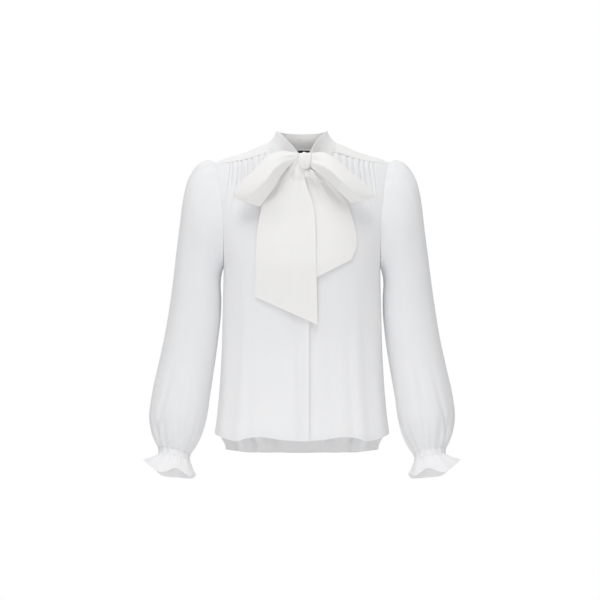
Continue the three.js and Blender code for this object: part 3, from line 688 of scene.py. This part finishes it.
RIGHT_LOOP = Table(
    "along upper_x upper_z lower_x lower_z y half",
    (0, -9, -15, -9, -29, -101, 4),
    (0.15, -36, -11.5, -26, -41, -106, 7),
    (0.35, -66, -21, -42, -61, -108, 9),
    (0.6, -97, -52, -57, -86, -107, 10),
    (0.8, -117, -70, -70, -103, -103, 9),
    (1, -131, -86, -83, -121, -99, 6),
)
LEFT_LOOP = Table(
    "along upper_x upper_z lower_x lower_z y half",
    (0, 19, -15, 17, -42, -101, 4),
    (0.15, 39, -14, 29, -53, -106, 7),
    (0.35, 64, -26, 47, -66, -108, 9),
    (0.6, 95, -53, 66, -84, -107, 10),
    (0.8, 118, -71, 81, -99, -103, 9),
    (1, 141, -90, 98, -113.5, -98, 6),
)
# How far the round end of a loop swells past the line between its corners, sideways and down
LOOP_ENDS = {"right": (-13, -8), "left": (9, -7)}
# Each loop's form, a point inside it, the depth of its crease and the seed of its unevenness
LOOPS = {"right": (RIGHT_LOOP, (-75, -104, -65), 0.9, 1), "left": (LEFT_LOOP, (75, -104, -62), 1.3, 2)}
RIGHT_TAIL = Table(
    "z left right away",
    (-360, -92, 30.8, 6.6),
    (-300, -93, 29.5, 6.6),
    (-228, -92, 27.6, 7.6),
    (-169, -89, 26.8, 10.5),
    (-141, -84.5, 25.6, 13),
    (-117.5, -79, 21.6, 18),
    (-90, -69, 12.5, 25),
    (-70, -57, 7, 31),
    (-58, -47, 5, 33),
    (-46.5, -36, 4, 33),
    (-38, -28, 4, 33.5),
    (-30, -20, 3, 33.5),
    (-22, -14, 2, 33),
)
LEFT_TAIL = Table(
    "z left right away",
    (-290, -13, 97, 4.2),
    (-227, -11, 99, 4.2),
    (-198, -9, 109, 4.6),
    (-180, -8, 108.5, 5.2),
    (-155, -7, 103, 6.6),
    (-117.5, -4, 92, 10),
    (-90, -4, 72, 16),
    (-70, -3, 52, 24),
    (-58, -3, 40, 28),
    (-51, -2, 32, 28),
    (-46.5, 2, 22, 26),
    (-38, 4, 17, 25),
)
TAIL_ENDS = {"right": (-301, -357), "left": (-284, -227)}
TAIL_LOW = 3.4  # how much nearer the body the right tail lies where nothing is under it
HOLLOW = (-20, -59, 4.2, 9, 7)  # of the right tail's opened pleat: x, z, half width, half height, depth
TUCK = (2, -61, 37, -69.5, 7)  # of the left tail's fold below the knot: its edge's two ends, and depth
TUCK_TOP, TUCK_INNER, TUCK_OUTER = (44, 52), (3, 8), (-46, -36)  # where the fold fades away


def collar_place(across, up):
    round_it = 2 * across - 1
    turn = lerp(180, COLLAR_START, abs(round_it))
    side = 1 if round_it > 0 else -1
    x, length = neck_seam(turn)
    low = over_shoulder(x, length)
    to_knot = 1 - ease(turn, COLLAR_START, COLLAR_JOINS)
    low = low.lerp(COLLAR_END, to_knot)
    top = Vector([COLLAR_TOP.read("turn", column, turn) for column in "xyz"])
    angle = math.radians(turn)
    out = (top - low).cross(Vector((math.cos(angle), math.sin(angle), 0))).normalized()
    sunk = lerp(-1.8, 0.0, ease(turn, 50, 75))
    low += (out * COLLAR_OFF + Vector((0, 0, sunk))) * (1 - to_knot)
    point = low.lerp(top, up)
    point += out * (COLLAR_ROLL * math.sin(math.pi * up) * (1 - to_knot))
    crease = 0.9 * flutter(turn, up * 26 + turn * 0.4, 13, 6 * side) * ease(turn, 16, 60)
    crease += 1.2 * math.sin(up * 15) * (1 - ease(turn, 20, 52)) * ease(turn, 14, 22)
    point += out * crease * math.sin(math.pi * clamp(up, 0.04, 0.96))
    point.x = side * point.x + COLLAR_SHIFT * to_knot
    return point


def tent(at, top):
    """Rises to 1 at the top and falls again, with a slightly rounded crease there."""
    away = (top - at) / top if at < top else (at - top) / (1 - top)
    return 1.05 - math.sqrt(away * away + 0.0025)


def loop_place(table, end, crease, seed):
    """A ribbon that leaves the knot, folds back and comes home, creased along its front layer."""
    start = (1 - math.cos(math.radians(LOOP_HIDDEN))) / 2

    def place(across, round_it):
        turn = math.radians(lerp(LOOP_HIDDEN, 360 - LOOP_HIDDEN, round_it))
        along = clamp(((1 - math.cos(turn)) / 2 - start) / (1 - start))
        side = math.sin(turn)
        belly = math.sin(math.pi * across)
        half = table.read("along", "half", along) * abs(side) ** LOOP_FULLNESS
        if side < 0:
            ridge = tent(across, LOOP_RIDGE)
            half *= lerp(LOOP_FRONT_EDGES, 1, ridge) + crease * ridge * ease(along, 0.05, 0.3)
        else:
            half *= lerp(LOOP_BACK_EDGES, 1, belly)
        y = table.read("along", "y", along) + math.copysign(half, side) - LOOP_BELLY * belly * along
        x = lerp(table.read("along", "upper_x", along), table.read("along", "lower_x", along), across)
        z = lerp(table.read("along", "upper_z", along), table.read("along", "lower_z", along), across)
        swell = math.sin(math.pi * across**0.63) * ease(along, 0.55, 1)
        x, z = x + end[0] * swell, z + end[1] * swell
        near = (1 - along) ** 1.6 * ease(along, 0, 0.1)
        calm = math.sin(math.pi * clamp(across, 0.03, 0.97))
        y += 1.8 * near * math.sin(4 * math.pi * across + seed) * calm
        y += 0.9 * flutter(across * 30 + seed * 9, along * 60, 19, seed) * ease(along, 0.05, 0.3)
        return Vector((x, y, z))

    return place


def hollow_in(x, z):
    at_x, at_z, wide, high, depth = HOLLOW
    return depth * math.exp(-(((x - at_x) / wide) ** 2) - ((z - at_z) / high) ** 2)


def tuck_out(x, z):
    x0, z0, x1, z1, depth = TUCK
    edge = lerp(z0, z1, (x - x0) / (x1 - x0))
    deep = depth * ease(z, edge - 1.2, edge + 0.4)
    return deep * ease(-z, *TUCK_TOP) * ease(x, *TUCK_INNER) * ease(-x, *TUCK_OUTER)


def tail_place(table, hand, seed):
    """A tail of the tie, which fans out below the knot and is cut aslant at its foot."""
    top = table.columns["z"][-1]
    ends = TAIL_ENDS[hand]

    def place(across, up):
        down = (1 - up) ** 1.25
        z = lerp(top, lerp(ends[0], ends[1], across), down)
        x = lerp(table.read("z", "left", z), table.read("z", "right", z), across)
        outer = 1 - across if hand == "right" else across
        fade = (1 - ease(top - z, 16, 110)) * ease(top - z, 4, 14)
        edge = math.sin(math.pi * clamp(across, 0.02, 0.98))
        out = table.read("z", "away", z) - 9 * outer**2 * ease(top - z, 6, 24) * (1 - ease(top - z, 50, 100))
        if hand == "right":
            out -= TAIL_LOW * ease(-x, 14, 50) * ease(-z, 110, 180)
        out += 2.0 * fade * math.sin(2 * math.pi * 2.5 * across + seed)
        out += 0.6 * fade * math.sin(2 * math.pi * 7 * across + seed) * edge
        out += 0.4 * (1 + flutter(x, z * 0.3, 38, 3)) * ease(top - z, 30, 120)
        out += tuck_out(x, z) if hand == "left" else -hollow_in(x, z)
        return Vector((x, body_point(x, min(z, -70), False).y - out, z))

    return place


def label_place(across, down):
    return over_shoulder(lerp(-26, 26, across), lerp(52.5, 66, down))


# Stitches


def stitch_line(bm, place, path, out, facing, length=2.3, gap=1.1, width=0.42):
    """Lays stitches along a path of places on a piece, standing just proud of its outer face."""
    points = [place(*at) for at in path]
    travelled = 0.0
    wanted = length / 2
    for a, b in zip(points, points[1:]):
        step = (b - a).length
        while travelled + step >= wanted:
            middle = a.lerp(b, (wanted - travelled) / step)
            along = (b - a).normalized()
            normal = facing(middle).normalized()
            across = along.cross(normal).normalized()
            normal = across.cross(along)
            spot = (middle + normal * out) * MM
            turn = Matrix((along, across, normal)).transposed().to_4x4()
            size = Matrix.Diagonal((length / 2 * MM, width / 2 * MM, width / 2 * MM, 1))
            bmesh.ops.create_icosphere(
                bm, subdivisions=1, radius=1, matrix=Matrix.Translation(spot) @ turn @ size
            )
            wanted += length + gap
        travelled += step


def surface_facing(place, path, outward):
    """The outward normal near a point of a path, from the piece's own surface."""
    table = []
    for across, up in path:
        at = place(across, up)
        over = place(min(across + 0.004, 1), up) - place(max(across - 0.004, 0), up)
        rise = place(across, min(up + 0.004, 1)) - place(across, max(up - 0.004, 0))
        normal = over.cross(rise).normalized()
        table.append((at, normal if normal.dot(outward(at)) > 0 else -normal))

    def facing(point):
        return min(table, key=lambda row: (row[0] - point).length_squared)[1]

    return facing


def path_along(steps, across=None, up=None, start=0.0, end=1.0):
    shares = [lerp(start, end, i / steps) for i in range(steps + 1)]
    return [(share if across is None else across, share if up is None else up) for share in shares]


def stitched(name, lines):
    bm = bmesh.new()
    for place, path, outward, out in lines:
        stitch_line(bm, place, path, out, surface_facing(place, path, outward))
    for face in bm.faces:
        face.smooth = True
    return finished(name, bm)


# Materials

# Each finish's yarns, sheen, and how far light goes through it, in metres
FINISHES = {
    "Crepe, one layer": (1.0, 0.12, 0.0012),
    "Crepe, folded double": (0.9, 0.12, 0.001),
    "Crepe, collar": (0.9, 0.12, 0.003),
    "Sewing thread": (2.0, 0.3, 0.0005),
}
# The last of these is the label's painted sheen: how many times lighter than its black the soft clouds over
# it are
YARN_SCALE, CRINKLE_SHARE, TONE_AMOUNT, LABEL_PAINTED_SHEEN = 1500.0, 0.6, 0.5, 1.8


def new_group(name, inputs, outputs):
    group = bpy.data.node_groups.new(name, "ShaderNodeTree")
    for kind, label, default in inputs:
        socket = group.interface.new_socket(label, in_out="INPUT", socket_type=kind)
        socket.default_value = default
    for kind, label in outputs:
        group.interface.new_socket(label, in_out="OUTPUT", socket_type=kind)
    return group, group.nodes.new("NodeGroupInput"), group.nodes.new("NodeGroupOutput")


def add_node(tree, kind, **values):
    node = tree.nodes.new(kind)
    for key, value in values.items():
        if key in node.inputs:
            node.inputs[key].default_value = value
        else:
            setattr(node, key, value)
    return node


def set_inputs(node, values):
    for name, value in values.items():
        node.inputs[name].default_value = value


def wire(tree, *links):
    """Links nodes; each link has a node and its output, then a node and its input."""
    for giver, given, taker, taken in links:
        tree.links.new(giver.outputs[given], taker.inputs[taken])


def new_material(name):
    material = bpy.data.materials.new(name)
    material.use_nodes = True
    return material, material.node_tree, material.node_tree.nodes["Principled BSDF"]


def crepe_grain():
    """The pebbly surface of crepe: fine twisted yarns with a slight crinkle, as a height."""
    name = "Crepe grain"
    if name in bpy.data.node_groups:
        return bpy.data.node_groups[name]
    group, given, put_out = new_group(
        name, [("NodeSocketFloat", "Yarns", 1.0)], [("NodeSocketFloat", "Height")]
    )
    where = add_node(group, "ShaderNodeTexCoord")
    stretched = add_node(group, "ShaderNodeMapping", Scale=(1.0, 1.0, 0.55))
    yarns = add_node(group, "ShaderNodeTexNoise", Detail=2.0, Roughness=0.6)
    crinkle = add_node(group, "ShaderNodeTexNoise", Scale=420.0, Detail=2.0, Roughness=0.5)
    scale = add_node(group, "ShaderNodeMath", operation="MULTIPLY")
    scale.inputs[1].default_value = YARN_SCALE
    both = add_node(group, "ShaderNodeMath", operation="MULTIPLY_ADD")
    both.inputs[1].default_value = CRINKLE_SHARE
    wire(
        group,
        (where, "Object", stretched, "Vector"),
        (stretched, "Vector", yarns, "Vector"),
        (where, "Object", crinkle, "Vector"),
        (given, "Yarns", scale, 0),
        (scale, 0, yarns, "Scale"),
        (crinkle, "Fac", both, 0),
        (yarns, "Fac", both, 2),
        (both, 0, put_out, "Height"),
    )
    return group


def cloth_tone():
    """The cloth's colour, with a faint unevenness that hanging and handling leave."""
    name = "Cloth tone"
    if name in bpy.data.node_groups:
        return bpy.data.node_groups[name]
    group, given, put_out = new_group(
        name,
        [
            ("NodeSocketColor", "Cloth", (0.8, 0.8, 0.8, 1)),
            ("NodeSocketColor", "Shade", (0.75, 0.75, 0.75, 1)),
            ("NodeSocketFloat", "Amount", 0.5),
        ],
        [("NodeSocketColor", "Color")],
    )
    where = add_node(group, "ShaderNodeTexCoord")
    cloud = add_node(group, "ShaderNodeTexNoise", Scale=11.0, Detail=3.0, Roughness=0.55)
    slub = add_node(group, "ShaderNodeTexNoise", Scale=650.0, Detail=1.0)
    add = add_node(group, "ShaderNodeMath", operation="ADD")
    amount = add_node(group, "ShaderNodeMath", operation="MULTIPLY", use_clamp=True)
    mix = add_node(group, "ShaderNodeMix", data_type="RGBA")
    wire(
        group,
        (where, "Object", cloud, "Vector"),
        (where, "Object", slub, "Vector"),
        (cloud, "Fac", add, 0),
        (slub, "Fac", add, 1),
        (add, 0, amount, 0),
        (given, "Amount", amount, 1),
        (amount, 0, mix, "Factor"),
        (given, "Cloth", mix, "A"),
        (given, "Shade", mix, "B"),
        (mix, "Result", put_out, "Color"),
    )
    return group


def tone_node(tree, colour, shade):
    tone = add_node(tree, "ShaderNodeGroup", node_tree=cloth_tone())
    set_inputs(tone, {"Cloth": (*colour, 1), "Shade": (*shade, 1), "Amount": TONE_AMOUNT})
    return tone


def crepe_material(name, colour, shade):
    if name in bpy.data.materials:
        return bpy.data.materials[name]
    yarns, sheen, light_through = FINISHES[name]
    material, tree, shader = new_material(name)
    set_inputs(
        shader,
        {
            "Roughness": 0.82,
            "Specular IOR Level": 0.25,
            "Sheen Weight": sheen,
            "Sheen Roughness": 0.45,
            "Subsurface Weight": 0.9,
            "Subsurface Radius": (1.0, 0.95, 0.9),
            "Subsurface Scale": light_through,
        },
    )
    tone = tone_node(tree, colour, shade)
    grain = add_node(tree, "ShaderNodeGroup", node_tree=crepe_grain())
    grain.inputs["Yarns"].default_value = yarns
    bump = add_node(tree, "ShaderNodeBump", Strength=0.35, Distance=0.00025)
    wire(
        tree,
        (tone, "Color", shader, "Base Color"),
        (grain, "Height", bump, "Height"),
        (bump, "Normal", shader, "Normal"),
    )
    return material


def label_material(name, colour):
    """Fine black satin: close ribs across the woven label."""
    if name in bpy.data.materials:
        return bpy.data.materials[name]
    material, tree, shader = new_material(name)
    shader.inputs["Roughness"].default_value = 0.5
    where = add_node(tree, "ShaderNodeUVMap", uv_map="Cut")
    ribs = add_node(tree, "ShaderNodeTexWave", Scale=900.0, Distortion=0.4, bands_direction="Y")
    # Painted sheen: a lighter copy of the black, mixed in as soft clouds, stands in for the satin's shine
    tone = tone_node(tree, colour, [part * LABEL_PAINTED_SHEEN for part in colour])
    bump = add_node(tree, "ShaderNodeBump", Strength=0.4, Distance=0.0001)
    wire(
        tree,
        (where, "UV", ribs, "Vector"),
        (ribs, "Fac", bump, "Height"),
        (tone, "Color", shader, "Base Color"),
        (bump, "Normal", shader, "Normal"),
    )
    return material


def plain_material(name, colour, roughness):
    material, _, shader = new_material(name)
    set_inputs(shader, {"Base Color": (*colour, 1), "Roughness": roughness})
    return material


def crepe(settings):
    return crepe_material("Crepe, one layer", settings.crepe_colour, settings.crepe_shade)


def folded_crepe(settings, name="Crepe, folded double"):
    return crepe_material(name, settings.double_colour, settings.double_shade)


def thread(settings):
    return crepe_material("Sewing thread", settings.thread_colour, settings.thread_colour)


# Settings


def size_setting(name, description, default, least):
    return bpy.props.FloatProperty(
        name=name, description=description, default=default, min=least, unit="LENGTH"
    )


def colour_setting(name, description, default):
    return bpy.props.FloatVectorProperty(
        name=name, description=description, subtype="COLOR", default=default
    )


def lamp_setting(name, description, default):
    return bpy.props.FloatProperty(
        name=name, description=description, default=default, min=0.0, subtype="POWER"
    )


class BlouseSettings(bpy.types.PropertyGroup):
    """Sizes and colours of the blouse."""

    cloth_thickness: size_setting("Cloth", "Thickness of one layer of crepe", 0.0008, 0.0002)
    double_thickness: size_setting(
        "Folded cloth", "Thickness of the folded tie, collar and placket", 0.0016, 0.0004
    )
    stitch_inset: size_setting("Hem", "How far the stitching lies from a hem", 0.006, 0.001)
    crepe_colour: colour_setting("Crepe", "Colour of the single cloth", (0.872, 0.872, 0.884))
    crepe_shade: colour_setting("Crepe shade", "Its darker tone", (0.858, 0.858, 0.868))
    double_colour: colour_setting("Folded crepe", "Colour of the folded cloth", (0.885, 0.88, 0.873))
    double_shade: colour_setting("Folded shade", "Its darker tone", (0.872, 0.866, 0.857))
    thread_colour: colour_setting("Thread", "Colour of the sewing thread", (0.855, 0.855, 0.862))
    label_colour: colour_setting("Label", "Colour of the label", (0.006, 0.006, 0.007))
    key_light: lamp_setting("Key light", "Power of the main lamp", 37.0)
    front_light: lamp_setting("Front light", "Power of the lamp by the camera", 7.0)
    low_light: lamp_setting("Low light", "Power of the lamp below the camera", 9.0)
    back_light: lamp_setting("Back light", "Power of the lamp behind the blouse", 18.0)
    surround: bpy.props.FloatProperty(
        name="Surround", description="Light from the white surround", default=0.57, min=0.0
    )


def settings_of(context):
    return context.scene.blouse


SEAM_TURN, HEM_TURN, COLLAR_TURN, FRILL_TURN = 3.5, 1.2, 3.0, 0.5  # depths that open edges turn in
EDGE = 0.001  # the share of a piece that counts as its edge
SLIT_UP = 0.14  # the share up the back at which its side slits end


def at_top(across, up):
    return up > 1 - EDGE


def at_foot(across, up):
    return 0 <= up < EDGE


def at_outer_side(across, up):
    return across > 1 - EDGE


def at_either_side(across, up):
    return across > 1 - EDGE or 0 <= across < EDGE


def above_slit(across, up):
    return at_either_side(across, up) and up > SLIT_UP


def sew(name, lines, settings):
    dress(stitched(name, lines), None, thread(settings))


def hem_up(inset, place, across):
    """The share up a panel at which its stitching lies above the hem."""
    low, high = place(across, 0), place(across, 0.05)
    return 0.05 * inset / (high - low).length


# Operators


class OBJECT_OT_blouse_fronts(bpy.types.Operator):
    """Both fronts, gathered under the yoke, with the placket over their edges"""

    bl_idname = "object.blouse_fronts"
    bl_label = "Fronts and Placket"

    def execute(self, context):
        settings = settings_of(context)
        thin = settings.cloth_thickness / MM
        for hand, side, inner in (("right", -1, FRONT_EDGE), ("left", 1, -FRONT_EDGE)):
            turned = ((at_top, SEAM_TURN), (at_outer_side, SEAM_TURN), (at_foot, HEM_TURN))
            place = front_place(side, inner)
            piece = cloth(
                f"front_{hand}_cloth", 170, 150, place, towards(0, -1, 0), (300, 600), thin, turned=turned
            )
            dress(piece, f"front_{hand}", crepe(settings))
            hem = hem_up(settings.stitch_inset / MM, place, 0.5)
            path = path_along(150, up=hem, start=0.03, end=0.985)
            lines = [(place, path, towards(0, -1, 0), thin / 2)]
            sew(f"front_{hand}_hem_stitches", lines, settings)
        thick = settings.double_thickness / MM
        forward = towards(0, -1, 0)
        band = cloth("placket_cloth", 14, 200, placket_place, forward, (28, 540), thick)
        dress(band, "placket", crepe(settings))
        lines = [
            (placket_place, path_along(240, across=0.09, start=0.004, end=0.99), forward, thick / 2),
            (placket_place, path_along(8, up=0.012, start=0.1, end=0.95), forward, thick / 2),
        ]
        sew("placket_stitches", lines, settings)
        return {"FINISHED"}


class OBJECT_OT_blouse_back(bpy.types.Operator):
    """The back with its longer hem and side slits, and the yoke above it"""

    bl_idname = "object.blouse_back"
    bl_label = "Back and Yoke"

    def execute(self, context):
        settings = settings_of(context)
        thin = settings.cloth_thickness / MM
        turned = ((at_top, SEAM_TURN), (above_slit, SEAM_TURN), (at_foot, HEM_TURN))
        back = cloth("back_cloth", 150, 130, back_place, towards(0, 1, 0), (420, 560), thin, turned=turned)
        dress(back, "back", crepe(settings))
        turned = ((at_top, SEAM_TURN), (at_either_side, SEAM_TURN))
        yoke = cloth("yoke_cloth", 168, 44, yoke_place, towards(0, 0.2, 1), (520, 110), thin, turned=turned)
        dress(yoke, "yoke", folded_crepe(settings))
        hem = hem_up(settings.stitch_inset / MM, back_place, 0.5)
        lines = [(back_place, path_along(220, up=hem, start=0.02, end=0.98), towards(0, 1, 0), thin / 2)]
        sew("back_hem_stitches", lines, settings)
        lines = [
            (yoke_place, path_along(260, up=0.985, start=0.31, end=0.69), towards(0, 1, 0.3), thin / 2),
            (yoke_place, path_along(60, across=0.007, start=0.04, end=0.97), towards(0, -0.3, 1), thin / 2),
            (yoke_place, path_along(60, across=0.993, start=0.04, end=0.97), towards(0, -0.3, 1), thin / 2),
        ]
        sew("yoke_stitches", lines, settings)
        return {"FINISHED"}


def sleeve_axis(side):
    """The middle of the sleeve at a point's height, in metres."""

    def centre(at):
        z = at.z / MM
        share = clamp((-z - 25) / 600)
        x = lerp(185, 258, share)
        return Vector((side * x, lerp(4, -50, share * share), z)) * MM

    return away_from_axis(centre)


class OBJECT_OT_blouse_sleeves(bpy.types.Operator):
    """Full sleeves with elastic bands and frills"""

    bl_idname = "object.blouse_sleeves"
    bl_label = "Sleeves and Cuffs"

    def execute(self, context):
        settings = settings_of(context)
        thin = settings.cloth_thickness / MM
        for hand, side in (("right", -1), ("left", 1)):
            facing = sleeve_axis(side)
            sleeve = cloth(
                f"sleeve_{hand}_cloth", 140, 160, sleeve_place(side), facing, (360, 600), thin,
                closed=True, turned=((at_top, SEAM_TURN),),
            )
            dress(sleeve, f"sleeve_{hand}", crepe(settings))
            cuff = cloth(
                f"cuff_band_{hand}_cloth", 252, 10, cuff_place(side), facing, (230, 26), thin, closed=True
            )
            dress(cuff, f"cuff_band_{hand}", crepe(settings))
            frill = cloth(
                f"cuff_frill_{hand}_cloth", 240, 20, frill_place(side), facing, (290, 30), thin,
                closed=True, turned=((at_foot, FRILL_TURN),),
            )
            dress(frill, f"cuff_frill_{hand}", crepe(settings))
            rounds = ((cuff_place, 0.9), (cuff_place, 0.12), (frill_place, 0.12))
            lines = [
                (place(side), path_along(240, up=up), outwards(facing), thin / 2) for place, up in rounds
            ]
            sew(f"cuff_{hand}_stitches", lines, settings)
        return {"FINISHED"}


def outwards(facing):
    return lambda point: facing(point * MM)


def collar_facing(at):
    return at - Vector((0.0, -0.02, at.z))


class OBJECT_OT_blouse_collar(bpy.types.Operator):
    """The stand collar that runs into the tie, and the plain label below it"""

    bl_idname = "object.blouse_collar"
    bl_label = "Collar and Label"

    def execute(self, context):
        settings = settings_of(context)
        thick = settings.double_thickness / MM
        turned = ((at_foot, COLLAR_TURN),)
        collar = cloth(
            "collar_cloth", 180, 26, collar_place, collar_facing, (380, 38), thick, turned=turned
        )
        dress(collar, "collar", folded_crepe(settings, "Crepe, collar"))
        path = path_along(260, up=0.05, start=0.06, end=0.94)
        lines = [(collar_place, path, outwards(collar_facing), thick / 2)]
        sew("collar_stitches", lines, settings)
        label = cloth("neck_label_cloth", 30, 8, label_place, towards(0, -1, -0.6), (52, 13.5), 0.5)
        label.data.transform(Matrix.Translation((0, -1.4 * MM, -1.0 * MM)))
        dress(label, "neck_label", label_material("Black satin", settings.label_colour))
        return {"FINISHED"}


def make_knot(name):
    """A small ball of wrapped cloth with soft folds running over it."""
    bm = bmesh.new()
    bmesh.ops.create_uvsphere(bm, u_segments=72, v_segments=48, radius=1)
    for v in bm.verts:
        at = v.co.copy()
        square = max(abs(at.x), abs(at.y), abs(at.z))
        size = lerp(1, 1 / square, 0.42) * (1 + 0.05 * noise.noise(at * 2.2))
        for place, depth in KNOT_PLEATS:
            away = (at.x + 0.3 * at.z - place) / 0.17
            size -= depth * math.exp(-away * away)
        taper = lerp(KNOT_FOOT, KNOT_HEAD, (at.z + 1) / 2)
        v.co = Vector([KNOT[i] + KNOT_HALF[i] * at[i] * size for i in range(3)])
        v.co.x = KNOT.x + (v.co.x - KNOT.x) * taper
        v.co *= MM
    for face in bm.faces:
        face.smooth = True
    return finished(name, bm)


class OBJECT_OT_blouse_bow(bpy.types.Operator):
    """The knot, the two loops and the two slanting tails"""

    bl_idname = "object.blouse_bow"
    bl_label = "Bow"

    def execute(self, context):
        settings = settings_of(context)
        thick = settings.double_thickness / MM
        material = folded_crepe(settings)
        dress(make_knot("tie_knot_cloth"), "tie_knot", material)
        for hand, (table, middle, crease, seed) in LOOPS.items():
            centre = Vector(middle) * MM
            place = loop_place(table, LOOP_ENDS[hand], crease, seed)
            facing = away_from_axis(lambda at: centre)
            loop = cloth(f"tie_loop_{hand}_cloth", 44, 100, place, facing, (50, 250), thick)
            dress(loop, f"tie_loop_{hand}", material)
        for hand, table, seed in (("right", RIGHT_TAIL, 3), ("left", LEFT_TAIL, 4)):
            place = tail_place(table, hand, seed)
            tail = cloth(f"tie_tail_{hand}_cloth", 90, 170, place, towards(0, -1, 0), (125, 320), thick)
            dress(tail, f"tie_tail_{hand}", material)
        return {"FINISHED"}


# Stage

CAMERA_AWAY = 3.4
FRAME_WIDTH = 1.23
CAMERA_X, CAMERA_Z = -0.0041, -0.3075
SENSOR = 36.0
FLOOR_Z = -1.1
FLOOR_RADIUS = 0.85


def area_light(name, spot, target, size, power):
    data = bpy.data.lights.new(name, "AREA")
    data.shape = "DISK"
    data.size = size
    data.energy = power
    lamp = bpy.data.objects.new(name, data)
    bpy.context.scene.collection.objects.link(lamp)
    lamp.location = spot
    lamp.rotation_euler = (Vector(target) - Vector(spot)).to_track_quat("-Z", "Y").to_euler()
    return lamp


class SCENE_OT_blouse_stage(bpy.types.Operator):
    """The pale floor, the soft lights, the white surround and the camera"""

    bl_idname = "scene.blouse_stage"
    bl_label = "Stage"

    def execute(self, context):
        settings = settings_of(context)
        scene = context.scene
        data = bpy.data.cameras.new("Camera")
        data.sensor_width = SENSOR
        data.lens = SENSOR * CAMERA_AWAY / FRAME_WIDTH
        camera = bpy.data.objects.new("Camera", data)
        scene.collection.objects.link(camera)
        camera.location = (CAMERA_X, -CAMERA_AWAY, CAMERA_Z)
        camera.rotation_euler = (math.radians(90), 0, 0)
        scene.camera = camera
        scene.view_settings.view_transform = "Standard"

        bm = bmesh.new()
        bmesh.ops.create_circle(bm, cap_ends=True, segments=96, radius=FLOOR_RADIUS)
        bmesh.ops.translate(bm, verts=bm.verts, vec=(0, 0, FLOOR_Z))
        floor = finished("floor", bm)
        floor.data.materials.append(plain_material("Pale floor", (0.86, 0.86, 0.86), 0.7))

        world = bpy.data.worlds.new("White surround")
        world.use_nodes = True
        surround = world.node_tree.nodes["Background"]
        surround.inputs["Color"].default_value = (1, 1, 1, 1)
        seen = add_node(world.node_tree, "ShaderNodeLightPath")
        strength = add_node(world.node_tree, "ShaderNodeMix", data_type="FLOAT")
        strength.inputs["A"].default_value = settings.surround
        strength.inputs["B"].default_value = 1.0
        world.node_tree.links.new(seen.outputs["Is Camera Ray"], strength.inputs["Factor"])
        world.node_tree.links.new(strength.outputs["Result"], surround.inputs["Strength"])
        scene.world = world
        area_light("Key", (-0.4, -1.3, 2.5), (0, 0, -0.3), 1.6, settings.key_light)
        area_light("Front", (0, -3.2, 0.1), (0, 0, -0.3), 0.9, settings.front_light)
        area_light("Low", (0, -1.9, -1.5), (0, 0, -0.5), 1.0, settings.low_light)
        area_light("Back", (0, 2.6, 0.2), (0, 0, -0.3), 1.6, settings.back_light)
        return {"FINISHED"}


class VIEW3D_PT_blouse(bpy.types.Panel):
    """The blouse's pieces and settings"""

    bl_idname = "VIEW3D_PT_blouse"
    bl_label = "Tie Neck Blouse"
    bl_space_type = "VIEW_3D"
    bl_region_type = "UI"
    bl_category = "Blouse"

    def draw(self, context):
        settings = settings_of(context)
        for name in BlouseSettings.__annotations__:
            self.layout.prop(settings, name)
        for operator in OPERATORS:
            self.layout.operator(operator.bl_idname)


OPERATORS = (
    OBJECT_OT_blouse_fronts,
    OBJECT_OT_blouse_back,
    OBJECT_OT_blouse_sleeves,
    OBJECT_OT_blouse_collar,
    OBJECT_OT_blouse_bow,
    SCENE_OT_blouse_stage,
)
CLASSES = (BlouseSettings, *OPERATORS, VIEW3D_PT_blouse)


def register():
    for cls in CLASSES:
        bpy.utils.register_class(cls)
    bpy.types.Scene.blouse = bpy.props.PointerProperty(type=BlouseSettings)


def unregister():
    del bpy.types.Scene.blouse
    for cls in reversed(CLASSES):
        bpy.utils.unregister_class(cls)


def main():
    register()
    bpy.ops.scene.blouse_stage()
    bpy.ops.object.blouse_back()
    bpy.ops.object.blouse_fronts()
    bpy.ops.object.blouse_sleeves()
    bpy.ops.object.blouse_collar()
    bpy.ops.object.blouse_bow()


if __name__ == "__main__":
    main()
